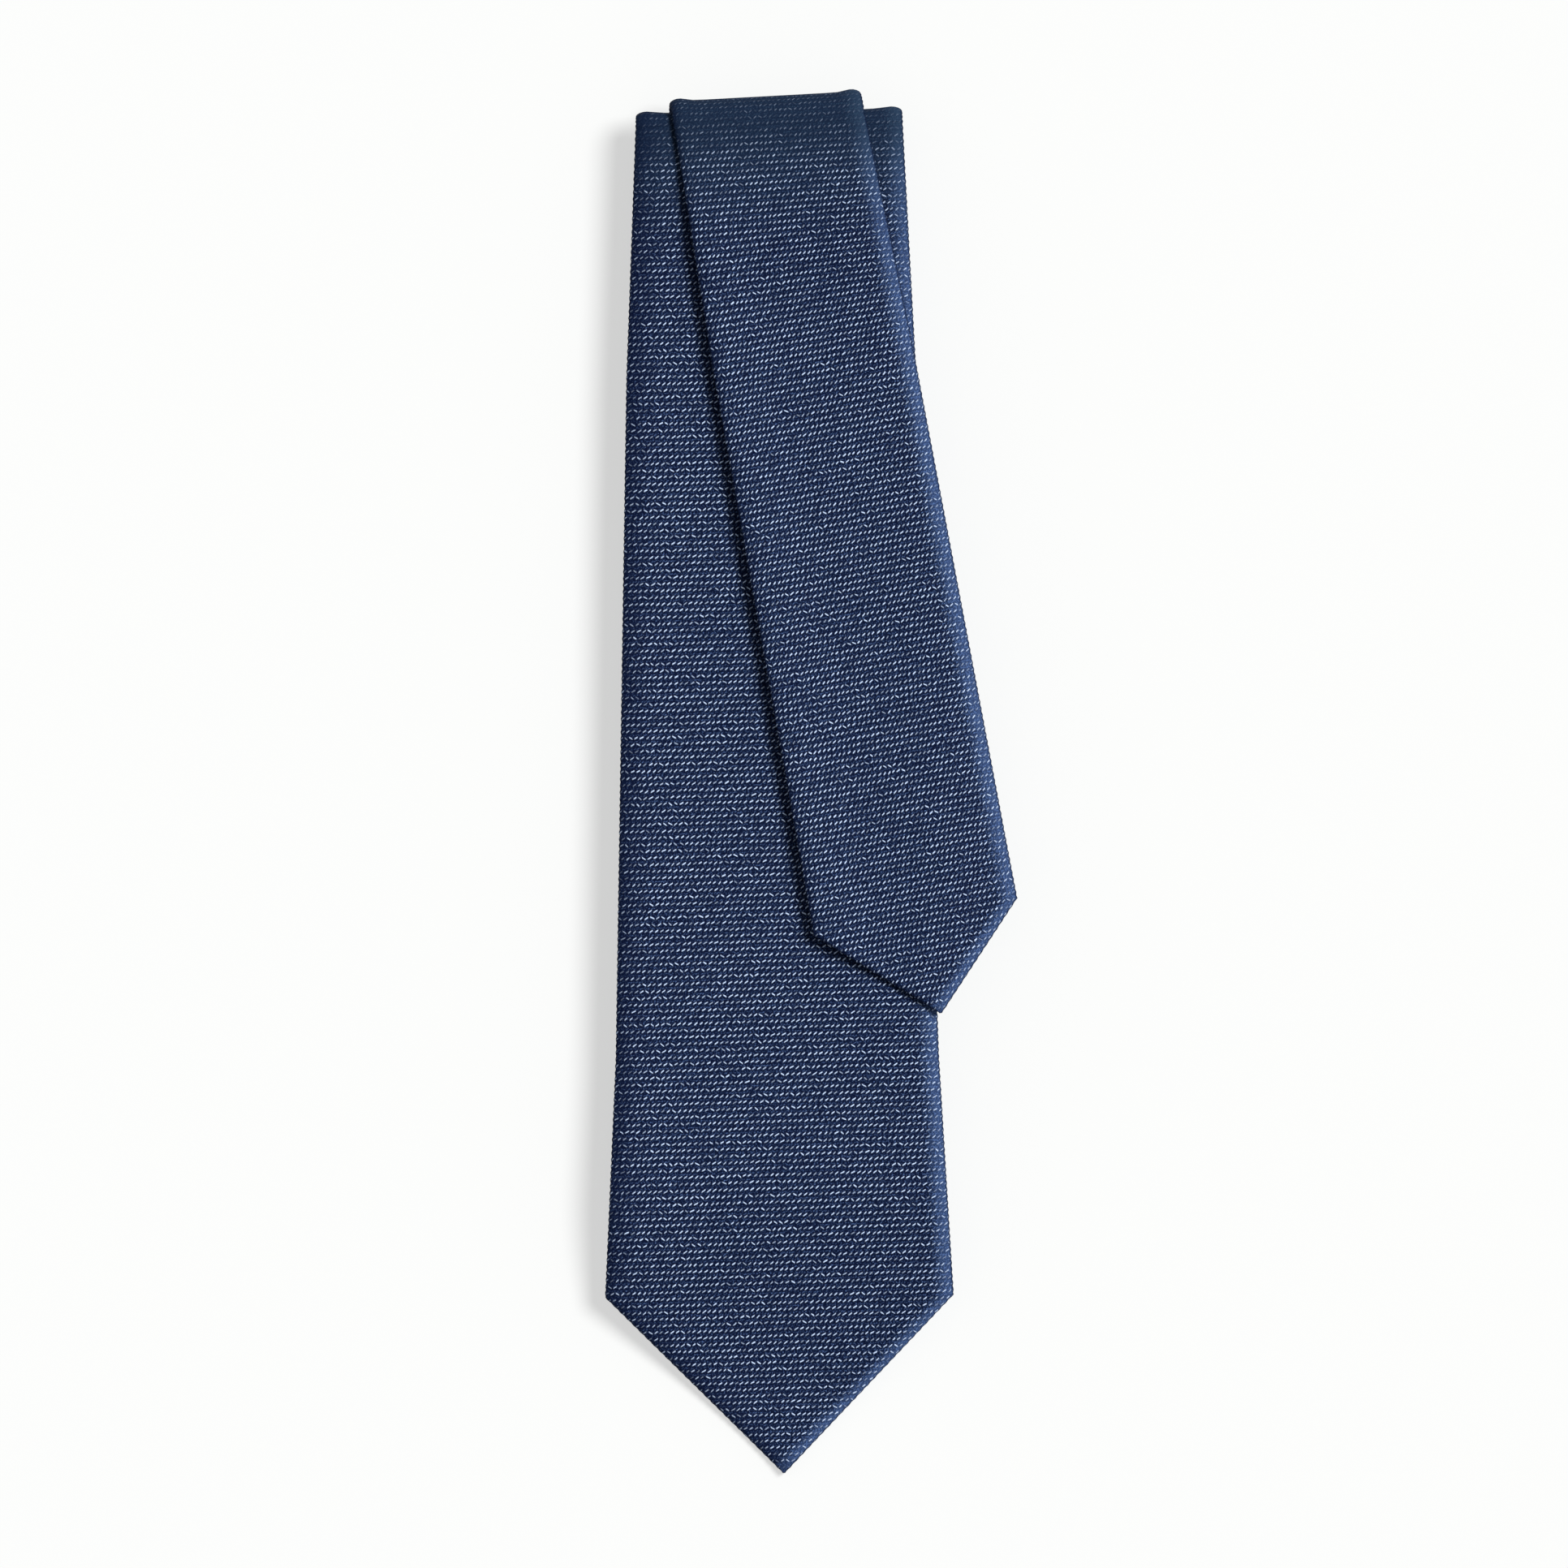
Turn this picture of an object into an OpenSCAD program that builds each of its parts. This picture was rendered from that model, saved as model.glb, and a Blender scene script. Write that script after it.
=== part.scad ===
// A necktie folded in half at the neck and then in thirds, lying face up on a flat surface.
// +Z is up. The folds lie at +Y and -Y, and the wide blade's point is at -Y.
// The origin is the middle of the whole shape seen from above, on the surface it lies on.
// The cloth tube runs through six stacked legs. From the surface up they are:
// wide base, tail base, tail middle, wide middle, wide blade and tail.

/* [Wide blade] */
// Width across the shoulders
blade_w = 80; // [60:1:100]
// Height of the point below the shoulders
blade_tip_h = 41; // [25:1:50]
// Length from the point to the top fold
blade_leg = 309.7; // [256:0.1:374]
// Width at the first station above the shoulders
blade_low_w = 74.2; // [55:0.1:95]
// Distance of the first station from the point
blade_low_at = 96; // [70:1:120]
// Width at the second station
blade_high_w = 66.6; // [50:0.1:90]
// Distance of the second station from the point
blade_high_at = 252; // [180:1:260]
// Width where the blade rolls over the top fold
blade_fold_w = 61.3; // [45:0.1:80]
// Width of the same strip at the bottom fold
blade_bottom_w = 44; // [34:0.1:60]
// How far the blade leans to the right on its way down, in degrees
blade_lean = 0.5; // [0:0.1:2]
// How far the point lies to the right of the blade's middle line
blade_tip_shift = 0.7; // [-2:0.1:2]
// How far the blade's top fold line rises to the right, in degrees
wide_top_tilt = 1.2; // [0:0.1:3]
// Length over which the blade sinks to the surface past the folded stack
droop_run = 62; // [40:1:90]
// How far above the bottom fold the blade starts to sink
droop_lead = 10; // [0:1:30]

/* [Tail] */
// Width across the shoulders
tail_w = 47.6; // [36:0.1:58]
// Height of the point below the shoulders
tail_tip_h = 23; // [15:1:30]
// Length from the point to the top fold
tail_leg = 208.6; // [170:0.1:250]
// Width at the station in its upper third
tail_high_w = 46.2; // [35:0.1:56]
// Distance of that station from the point
tail_high_at = 155; // [100:1:165]
// Width where the tail rolls over the top fold
tail_fold_w = 43.7; // [35:0.1:55]
// Width of the same strip at the bottom fold
tail_bottom_w = 36.5; // [31:0.1:45]
// How far the tail leans to the right on its way down, in degrees
tail_lean = 10.4; // [5:0.1:12]
// How far the tail's fold line rises to the right, in degrees
tail_top_tilt = 3.1; // [0:0.1:4]
// How far the tail's fold line lies beyond the wide blade's, at their middles
tail_fold_rise = 0.8; // [0.7:0.05:3]
// How far the point lies to the right of the tail's middle line
tail_tip_shift = 1.8; // [-2:0.1:3]
// Length of the bending zone where the tail lifts, next to the top fold
lift_zone = 8; // [6:0.5:12]

/* [Folded legs] */
// Distance between the top and the bottom fold
middle_leg = 250; // [205:1:300]
// Length of the base legs from the bottom fold to the turn at the neck
base_leg = 187; // [150:1:224]
// Width of the neck
neck_w = 30; // [24:0.5:32]
// Gap between the two base legs at the neck
leg_gap = 0.4; // [0.3:0.1:1]
// Share of the legs' spread that the wide strip takes
blade_share = 0.25; // [0:0.05:0.5]

/* [Cloth] */
// Thickness of the silk cloth
cloth_t = 0.5; // [0.3:0.05:0.7]
// Thickness of the interlining
lining_t = 0.8; // [0.6:0.05:1.4]
// Thickness of the tipping
tipping_t = 0.3; // [0.2:0.05:0.5]
// Room between one ply and the next
ply_gap = 0.1; // [0.05:0.05:0.2]
// Gap between stacked legs
layer_gap = 0.3; // [0.3:0.05:0.6]
// Extra room behind the wide blade for its keeper loop
keeper_room = 1.2; // [1:0.1:2]
// Width of the slit where the cloth's edges meet down the back
slit_w = 0.4; // [0.3:0.05:0.8]
// Diameter of the sewing thread
thread_d = 0.3; // [0.2:0.05:0.4]

/* [Back of the blades] */
// Height of the wide blade's open back above its point
blade_open_h = 88; // [70:1:110]
// Height of the tail's open back above its point
tail_open_h = 52; // [40:1:70]
// Width of the turned hem along the pointed ends
hem_w = 3; // [2:0.5:5]
// How far the tipping reaches up under the cloth past the opening
tipping_lap = 25; // [10:1:40]
// Length of a bar tack across the slit
tack_l = 6; // [4:0.5:9]
// Width of a bar tack
tack_w = 1; // [0.8:0.1:1.6]

/* [Keeper, label and care tag] */
// Distance of the keeper loop from the wide point
keeper_at = 190; // [150:1:215]
// Width of the keeper band along the blade
keeper_band = 14; // [8:1:20]
// Length of the keeper loop across the blade
keeper_len = 58; // [40:1:64]
// Thickness of the keeper band
keeper_t = 0.6; // [0.4:0.1:0.8]
// Distance of the label from the wide point
label_at = 226; // [205:1:240]
// Length of the blank label across the blade
label_len = 46; // [30:1:56]
// Width of the blank label along the blade
label_band = 20; // [12:1:26]
// Thickness of the label and the care tag
label_t = 0.25; // [0.2:0.05:0.4]
// Distance of the blank care tag from the wide point
tag_at = 152; // [120:1:160]
// Width of the care tag
tag_w = 14; // [8:1:20]
// Length of the care tag
tag_len = 26; // [16:1:36]

/* [Joining seams] */
// Distance of the bias seam in the wide base leg from the bottom fold
wide_seam_at = 72; // [50:1:110]
// Distance of the bias seam in the tail base leg from the bottom fold
tail_seam_at = 64; // [50:1:110]

/* [Hidden] */
eps = 1;

// Plies of one leg, from its back to its face: cloth, tipping, interlining, cloth.
layer_t = 2 * cloth_t + tipping_t + lining_t + 3 * ply_gap;
step_z = layer_t + layer_gap;
wide_base_z = 0;
tail_base_z = step_z;
tail_middle_z = 2 * step_z;
wide_middle_z = 3 * step_z;
blade_z = 4 * step_z + keeper_room;
tail_z = blade_z + step_z;
stack_z = tail_z + layer_t;

// Rolled folds: the heights of their middles and their outer radii.
top_z = (tail_middle_z + stack_z) / 2;
wide_top_r = top_z - wide_middle_z;
tail_top_r = top_z - tail_middle_z;
bottom_z = (wide_middle_z + layer_t) / 2;
wide_bottom_r = bottom_z;
tail_bottom_r = bottom_z - tail_base_z;

// Lengths of cloth in the rolled folds, along the middle of the strip.
wide_top_arc = PI * (wide_top_r - layer_t / 2);
tail_top_arc = PI * (tail_top_r - layer_t / 2);
wide_bottom_arc = PI * (wide_bottom_r - layer_t / 2);
tail_bottom_arc = PI * (tail_bottom_r - layer_t / 2);

// Directions. A leg's turn is how far it is turned counterclockwise from straight down or up.
tail_fold_dx = -tail_top_arc * tan(tail_lean / 2);
spread = atan((neck_w + leg_gap + tail_fold_dx) / (middle_leg + base_leg));
wide_middle_turn = blade_share * spread;
tail_middle_turn = -(1 - blade_share) * spread;
wide_bottom_x = middle_leg * tan(wide_middle_turn);
tail_bottom_x = tail_fold_dx + middle_leg * tan(tail_middle_turn);
legs_x = (wide_bottom_x + tail_bottom_x) / 2;
turn_y = base_leg - middle_leg;
neck_x = -turn_y * tan(blade_lean);
legs_turn = atan((legs_x - neck_x) / base_leg);
bottom_tilt = (legs_turn + (wide_middle_turn + tail_middle_turn) / 2) / 2;
wide_base_turn = 2 * bottom_tilt - wide_middle_turn;
tail_base_turn = 2 * bottom_tilt - tail_middle_turn;

// Where a strip's middle line crosses its fold lines.
function tail_top_y(x) = tail_fold_rise + x * tan(tail_top_tilt);
function bottom_y(x) = -middle_leg + (x - legs_x) * tan(bottom_tilt);

// Width of each strip at distances from its point.
blade_widths = [
  [blade_tip_h, blade_w],
  [blade_low_at, blade_low_w],
  [blade_high_at, blade_high_w],
  [blade_leg, blade_fold_w],
  [blade_leg + wide_top_arc + middle_leg, blade_bottom_w],
  [blade_leg + wide_top_arc + middle_leg + wide_bottom_arc + base_leg, neck_w]
];
tail_widths = [
  [tail_tip_h, tail_w],
  [tail_high_at, tail_high_w],
  [tail_leg, tail_fold_w],
  [tail_leg + tail_top_arc + middle_leg, tail_bottom_w],
  [tail_leg + tail_top_arc + middle_leg + tail_bottom_arc + base_leg, neck_w]
];
side_steps = 8;

// Where the whole shape's box has its middle, measured from the wide strip's top fold.
function turned(p, a) = [p[0] * cos(a) - p[1] * sin(a), p[0] * sin(a) + p[1] * cos(a)];
left_corner = turned([-blade_w / 2, blade_tip_h - blade_leg], blade_lean);
right_corner = turned([tail_w / 2, tail_tip_h - tail_leg], tail_lean) + [0, tail_fold_rise];
blade_point = turned([blade_tip_shift, -blade_leg], blade_lean);
tail_fold_corner = turned([tail_fold_w / 2, tail_top_r], tail_top_tilt) + [0, tail_fold_rise];
mid_x = (left_corner[0] + right_corner[0]) / 2;
mid_y = (blade_point[1] + tail_fold_corner[1]) / 2;

cloth_colour = [0.16, 0.2, 0.31];
lining_colour = [0.85, 0.82, 0.75];
tipping_colour = [0.08, 0.11, 0.2];
thread_colour = [0.12, 0.15, 0.25];
label_colour = [0.2, 0.24, 0.36];
tag_colour = [0.95, 0.95, 0.93];

// One side of a strip that runs from v0 to v1, with ends cut at the angles cut0 and cut1.
function half_at(widths, s, inset) = lookup(s, widths) / 2 - inset;
function side_of(widths, s0, dir, v0, v1, cut0, cut1, inset, way) =
  let (
    start = v0 + way * half_at(widths, s0 + dir * v0, inset) * tan(cut0),
    end = v1 + way * half_at(widths, s0 + dir * v1, inset) * tan(cut1)
  )
  [
    for (i = [0 : side_steps])
      let (v = start + (end - start) * i / side_steps)
      [way * half_at(widths, s0 + dir * v, inset), v]
  ];
function reversed(list) = [for (i = [len(list) - 1 : -1 : 0]) list[i]];
function strip(widths, s0, dir, v0, v1, cut0, cut1, inset) = concat(
  side_of(widths, s0, dir, v0, v1, cut0, cut1, inset, 1),
  reversed(side_of(widths, s0, dir, v0, v1, cut0, cut1, inset, -1))
);

// A pointed leg from v0 to its point at v = leg, inset all round.
function pointed(widths, w, tip_h, leg, shift, v0, cut0, inset) =
  let (
    half_angle = atan(w / 2 / tip_h),
    tip = leg - inset / sin(half_angle),
    shoulder = tip - (w / 2 - inset) / tan(half_angle)
  )
  concat(
    side_of(widths, leg, -1, v0, shoulder, cut0, 0, inset, 1),
    [[shift, tip]],
    reversed(side_of(widths, leg, -1, v0, shoulder, cut0, 0, inset, -1))
  );

// Frames of the legs. Inside them x is across the strip and y is the distance from the fold.
module framed() {
  translate([-mid_x, -mid_y, 0]) children();
}
module leg_down(at, turn) {
  framed() translate([at[0], at[1], 0]) rotate([0, 0, turn]) mirror([0, 1, 0]) children();
}
module leg_up(x, turn) {
  framed() translate([x, bottom_y(x), 0]) rotate([0, 0, turn]) children();
}
module blade_frame() {
  leg_down([0, 0], blade_lean) children();
}
module tail_frame() {
  leg_down([0, tail_fold_rise], tail_lean) children();
}
module wide_middle_frame() {
  leg_down([0, 0], wide_middle_turn) children();
}
module tail_middle_frame() {
  leg_down([tail_fold_dx, tail_top_y(tail_fold_dx)], tail_middle_turn) children();
}
module wide_base_frame() {
  leg_up(wide_bottom_x, wide_base_turn) children();
}
module tail_base_frame() {
  leg_up(tail_bottom_x, tail_base_turn) children();
}

module slab(outline, z0, z1) {
  translate([0, 0, z0]) linear_extrude(z1 - z0) polygon(outline);
}
module bar(size, at) {
  translate([at[0] - size[0] / 2, at[1] - size[1] / 2, at[2]]) cube(size);
}

// The wide blade's back surface sinks from the stack to the surface below.
function eased(t) = let (u = min(max(t, 0), 1)) u * u * (3 - 2 * u);
function blade_back(v) = blade_z * (1 - eased((v - middle_leg + droop_lead) / droop_run));
droop_steps = 16;
function droop_line(rise) = concat(
  [[-2 * eps, blade_z + rise]],
  [
    for (i = [0 : droop_steps])
      let (v = middle_leg - droop_lead + droop_run * i / droop_steps)
      [v, blade_back(v) + rise]
  ],
  [[blade_leg + droop_run, rise]]
);
module draped(outline, rise0, rise1) {
  intersection() {
    slab(outline, -eps, stack_z + eps);
    rotate([90, 0, 90]) linear_extrude(2 * blade_w, center = true)
      polygon(concat(droop_line(rise0), reversed(droop_line(rise1))));
  }
}

function blade_outline(v0, cut, inset) =
  pointed(blade_widths, blade_w, blade_tip_h, blade_leg, blade_tip_shift, v0, cut, inset);
function tail_outline(v0, cut, inset) =
  pointed(tail_widths, tail_w, tail_tip_h, tail_leg, tail_tip_shift, v0, cut, inset);
blade_cut = blade_lean - wide_top_tilt;
tail_cut = tail_lean - tail_top_tilt;

// The kite-shaped opening at the back of a pointed end, inside its hem.
// The cloth's two edges lie side by side above it, and stay folded in by a share of the width beside it.
flap_share = 0.1;
function opening(w, tip_h, leg, shift, open_h) =
  let (
    half_angle = atan(w / 2 / tip_h),
    x = w / 2 - flap_share * w,
    tip = leg - hem_w / sin(half_angle),
    side = tip - x / tan(half_angle)
  )
  [[0, leg - open_h], [x, side], [shift, tip], [-x, side]];
blade_opening = opening(blade_w, blade_tip_h, blade_leg, blade_tip_shift, blade_open_h);
tail_opening = opening(tail_w, tail_tip_h, tail_leg, tail_tip_shift, tail_open_h);
blade_open_at = blade_leg - blade_open_h;
tail_open_at = tail_leg - tail_open_h;
function across(w, v0, v1) = [[-w / 2, v0], [w / 2, v0], [w / 2, v1], [-w / 2, v1]];

tipping_z0 = cloth_t + ply_gap;
tipping_z1 = tipping_z0 + tipping_t;
lining_z0 = tipping_z1 + ply_gap;
lining_z1 = lining_z0 + lining_t;
lining_inset = cloth_t + ply_gap;
thread_z0 = (cloth_t - thread_d) / 2;

// A bar tack sits in a slot across the slit, just above the point of the opening.
tack_rise = 2 * tack_w;
slot_reach = 3 * tack_w;
function tack_area(open_at, extra) =
  across(tack_l + 2 * extra, open_at - tack_rise - extra, open_at - tack_rise + tack_w + extra);

// Wide blade
module blade_shell() {
  color(cloth_colour) blade_frame() difference() {
    draped(blade_outline(0, blade_cut, 0), 0, layer_t);
    draped(blade_outline(-eps, blade_cut, cloth_t), cloth_t, layer_t - cloth_t);
    draped(blade_opening, -eps / 2, tipping_z0);
    draped(across(slit_w, -2 * eps, blade_open_at + eps), -eps / 2, tipping_z0);
    draped(tack_area(blade_open_at, ply_gap), -eps / 2, tipping_z0);
  }
}
module blade_lining() {
  color(lining_colour) blade_frame()
    draped(blade_outline(0, blade_cut, lining_inset), lining_z0, lining_z1);
}
module blade_tipping() {
  color(tipping_colour) blade_frame() intersection() {
    draped(blade_outline(0, blade_cut, hem_w - cloth_t), tipping_z0, tipping_z1);
    slab(across(2 * blade_w, blade_open_at - tipping_lap, blade_leg), -eps, stack_z);
  }
}
module blade_slip_stitch() {
  color(thread_colour) blade_frame()
    draped(across(thread_d, 0, blade_open_at - slot_reach), thread_z0, thread_z0 + thread_d);
}
module blade_bar_tack() {
  color(thread_colour) blade_frame() draped(tack_area(blade_open_at, 0), 0, cloth_t);
}
module slip_stitch(v0, v1, z) {
  translate([0, v0, z]) rotate([-90, 0, 0]) cylinder(h = v1 - v0, d = thread_d, $fn = 24);
}

// Keeper, label and care tag on the back of the wide blade
keeper_z = blade_z - keeper_room / 2 - keeper_t / 2;
keeper_end = keeper_band / 3;
module keeper_loop() {
  clear_len = keeper_len - 2 * keeper_end;
  color(cloth_colour) blade_frame() difference() {
    bar([keeper_len, keeper_band, blade_z - keeper_z], [0, blade_leg - keeper_at, keeper_z]);
    bar([clear_len, keeper_band + eps, blade_z - keeper_z], [0, blade_leg - keeper_at, keeper_z + keeper_t]);
  }
}
module keeper_tack(way) {
  at = way * (keeper_len - keeper_end) / 2;
  tack = [keeper_band / 4, tack_w, thread_d / 2];
  for (i = [-1 : 1])
    bar(tack, [at, blade_leg - keeper_at + i * keeper_band / 3, keeper_z - tack[2]]);
}
module keeper_tack_left() {
  color(thread_colour) blade_frame() keeper_tack(-1);
}
module keeper_tack_right() {
  color(thread_colour) blade_frame() keeper_tack(1);
}
module label_blank() {
  color(label_colour) blade_frame()
    bar([label_len, label_band, label_t], [0, blade_leg - label_at, blade_z - label_t]);
}
module label_stitches() {
  rows = 5;
  pitch = label_band / rows;
  stitch = [tack_w, pitch / 2, thread_d / 2];
  color(thread_colour) blade_frame() for (way = [-1, 1]) for (i = [0 : rows - 1])
    let (v = blade_leg - label_at + (i - (rows - 1) / 2) * pitch)
    bar(stitch, [way * (label_len / 2 - tack_w), v, blade_z - label_t - stitch[2]]);
}
module care_tag_blank() {
  color(tag_colour) blade_frame()
    bar([tag_w, tag_len, label_t], [tag_w / 2 + slit_w, blade_leg - tag_at, blade_z - label_t]);
}

// Tail
module tail_tube(outline, outline_in) {
  difference() {
    slab(outline, tail_z, tail_z + layer_t);
    slab(outline_in, tail_z + cloth_t, tail_z + layer_t - cloth_t);
    slab(across(slit_w, -2 * eps, tail_open_at + eps), tail_z - eps / 2, tail_z + tipping_z0);
  }
}
module tail_shell() {
  color(cloth_colour) tail_frame() difference() {
    tail_tube(tail_outline(lift_zone, tail_cut, 0), tail_outline(lift_zone - eps, tail_cut, cloth_t));
    slab(tail_opening, tail_z - eps, tail_z + tipping_z0);
    slab(tack_area(tail_open_at, ply_gap), tail_z - eps, tail_z + tipping_z0);
  }
}
module tail_lining() {
  color(lining_colour) tail_frame()
    slab(tail_outline(lift_zone, tail_cut, lining_inset), tail_z + lining_z0, tail_z + lining_z1);
}
module tail_tipping() {
  color(tipping_colour) tail_frame() intersection() {
    slab(tail_outline(lift_zone, tail_cut, hem_w - cloth_t), tail_z + tipping_z0, tail_z + tipping_z1);
    slab(across(2 * tail_w, tail_open_at - tipping_lap, tail_leg), 0, stack_z);
  }
}
module tail_slip_stitch() {
  color(thread_colour) tail_frame()
    slip_stitch(lift_zone, tail_open_at - slot_reach, tail_z + cloth_t / 2);
}
module tail_bar_tack() {
  color(thread_colour) tail_frame() slab(tack_area(tail_open_at, 0), tail_z, tail_z + cloth_t);
}
function lift_outline(v0, v1, inset) =
  strip(tail_widths, tail_leg, -1, v0, v1, tail_cut, tail_cut, inset);
module tail_lift_shell() {
  color(cloth_colour) tail_frame()
    tail_tube(lift_outline(0, lift_zone, 0), lift_outline(-eps, lift_zone + eps, cloth_t));
}
module tail_lift_lining() {
  color(lining_colour) tail_frame()
    slab(lift_outline(0, lift_zone, lining_inset), tail_z + lining_z0, tail_z + lining_z1);
}

// Hidden legs. A leg's slit is at its back, which is its top where slit_up is true.
module leg_tube(widths, s0, v0, v1, cut0, cut1, z, slit_up) {
  slit_z = slit_up ? z + layer_t - cloth_t : z;
  difference() {
    slab(strip(widths, s0, 1, v0, v1, cut0, cut1, 0), z, z + layer_t);
    slab(strip(widths, s0, 1, v0 - eps, v1 + eps, cut0, cut1, cloth_t), z + cloth_t, z + layer_t - cloth_t);
    bar([slit_w, v1 - v0 + 8 * eps, cloth_t + eps], [0, (v0 + v1) / 2, slit_z - eps / 2]);
  }
}
module leg_lining(widths, s0, v0, v1, cut0, cut1, z, slit_up) {
  z0 = slit_up ? z + layer_t - lining_z1 : z + lining_z0;
  slab(strip(widths, s0, 1, v0, v1, cut0, cut1, lining_inset), z0, z0 + lining_t);
}

wide_middle_s = blade_leg + wide_top_arc;
tail_middle_s = tail_leg + tail_top_arc;
wide_middle_v = -bottom_y(wide_bottom_x) / cos(wide_middle_turn);
tail_middle_v = (tail_top_y(tail_fold_dx) - bottom_y(tail_bottom_x)) / cos(tail_middle_turn);
module wide_middle_shell() {
  color(cloth_colour) wide_middle_frame()
    leg_tube(blade_widths, wide_middle_s, 0, wide_middle_v, wide_middle_turn - wide_top_tilt,
      wide_middle_turn - bottom_tilt, wide_middle_z, true);
}
module wide_middle_lining() {
  color(lining_colour) wide_middle_frame()
    leg_lining(blade_widths, wide_middle_s, 0, wide_middle_v, wide_middle_turn - wide_top_tilt,
      wide_middle_turn - bottom_tilt, wide_middle_z, true);
}
module wide_middle_slip_stitch() {
  color(thread_colour) wide_middle_frame()
    slip_stitch(0, wide_middle_v, wide_middle_z + layer_t - cloth_t / 2);
}
module tail_middle_shell() {
  color(cloth_colour) tail_middle_frame()
    leg_tube(tail_widths, tail_middle_s, 0, tail_middle_v, tail_middle_turn - tail_top_tilt,
      tail_middle_turn - bottom_tilt, tail_middle_z, true);
}
module tail_middle_lining() {
  color(lining_colour) tail_middle_frame()
    leg_lining(tail_widths, tail_middle_s, 0, tail_middle_v, tail_middle_turn - tail_top_tilt,
      tail_middle_turn - bottom_tilt, tail_middle_z, true);
}
module tail_middle_slip_stitch() {
  color(thread_colour) tail_middle_frame()
    slip_stitch(0, tail_middle_v, tail_middle_z + layer_t - cloth_t / 2);
}

// Base legs, each joined to the neck piece by a seam on the bias.
wide_base_s = wide_middle_s + middle_leg + wide_bottom_arc;
tail_base_s = tail_middle_s + middle_leg + tail_bottom_arc;
wide_base_v = (turn_y - bottom_y(wide_bottom_x)) / cos(wide_base_turn);
tail_base_v = (turn_y - bottom_y(tail_bottom_x)) / cos(tail_base_turn);
wide_base_cut = bottom_tilt - wide_base_turn;
tail_base_cut = bottom_tilt - tail_base_turn;
seam_angle = 45;
seam_w = 0.3;
seam_pitch = 2.5;
stitch_w = seam_w / 2;
stitch_share = 0.8;
module wide_base_shell() {
  color(cloth_colour) wide_base_frame()
    leg_tube(blade_widths, wide_base_s, 0, wide_seam_at, wide_base_cut, seam_angle, wide_base_z, false);
}
module neck_shell_right() {
  color(cloth_colour) wide_base_frame()
    leg_tube(blade_widths, wide_base_s, wide_seam_at + seam_w, wide_base_v, seam_angle,
      -wide_base_turn, wide_base_z, false);
}
module wide_base_lining() {
  color(lining_colour) wide_base_frame()
    leg_lining(blade_widths, wide_base_s, 0, wide_base_v, wide_base_cut, -wide_base_turn, wide_base_z, false);
}
module wide_base_slip_stitch() {
  color(thread_colour) wide_base_frame() slip_stitch(0, wide_base_v, wide_base_z + cloth_t / 2);
}
module tail_base_shell() {
  color(cloth_colour) tail_base_frame()
    leg_tube(tail_widths, tail_base_s, 0, tail_seam_at, tail_base_cut, seam_angle, tail_base_z, false);
}
module neck_shell_left() {
  color(cloth_colour) tail_base_frame()
    leg_tube(tail_widths, tail_base_s, tail_seam_at + seam_w, tail_base_v, seam_angle,
      -tail_base_turn, tail_base_z, false);
}
module tail_base_lining() {
  color(lining_colour) tail_base_frame()
    leg_lining(tail_widths, tail_base_s, 0, tail_base_v, tail_base_cut, -tail_base_turn, tail_base_z, false);
}
module tail_base_slip_stitch() {
  color(thread_colour) tail_base_frame() slip_stitch(0, tail_base_v, tail_base_z + cloth_t / 2);
}

// The bias seam's machine stitches, inside the tube along the cut edges of its face.
module bias_seam(widths, s0, v, z) {
  reach = half_at(widths, s0 + v, 0) * tan(seam_angle);
  left = [-half_at(widths, s0 + v - reach, 0), v - reach];
  right = [half_at(widths, s0 + v + reach, 0), v + reach];
  run = right - left;
  count = floor((norm(run) - 6 * cloth_t) / seam_pitch);
  y = (seam_w * cos(seam_angle) - stitch_w) / 2;
  translate([left[0], left[1], z]) rotate([0, 0, atan2(run[1], run[0])])
    for (i = [0 : count - 1])
      translate([norm(run) / 2 + (i - count / 2) * seam_pitch, y, 0])
        cube([seam_pitch * stitch_share, stitch_w, thread_d]);
}
module wide_bias_seam() {
  color(thread_colour) wide_base_frame()
    bias_seam(blade_widths, wide_base_s, wide_seam_at, wide_base_z + layer_t - cloth_t);
}
module tail_bias_seam() {
  color(thread_colour) tail_base_frame()
    bias_seam(tail_widths, tail_base_s, tail_seam_at, tail_base_z + layer_t - cloth_t);
}

// Rolled folds: half a ring of the layered strip, on the far side of its fold line.
module half_ring(r, width, inset, way) {
  rotate([0, 90, 0]) intersection() {
    difference() {
      cylinder(h = width - 2 * inset, r = r - inset, center = true, $fn = 64);
      cylinder(h = width + eps, r = r - layer_t + inset, center = true, $fn = 64);
    }
    translate([-2 * r, way > 0 ? 0 : -2 * r, -width]) cube([4 * r, 2 * r, 2 * width]);
  }
}
module fold_tube(r, width, way, slit_outside) {
  slit_r = slit_outside ? r + eps : r - layer_t + cloth_t;
  difference() {
    half_ring(r, width, 0, way);
    half_pocket(r, width, way);
    rotate([0, 90, 0]) difference() {
      cylinder(h = slit_w, r = slit_r, center = true, $fn = 64);
      if (slit_outside) cylinder(h = width, r = r - cloth_t, center = true, $fn = 64);
    }
  }
}
module half_pocket(r, width, way) {
  rotate([0, 90, 0]) difference() {
    cylinder(h = width - 2 * cloth_t, r = r - cloth_t, center = true, $fn = 64);
    cylinder(h = width + eps, r = r - layer_t + cloth_t, center = true, $fn = 64);
  }
}
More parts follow.
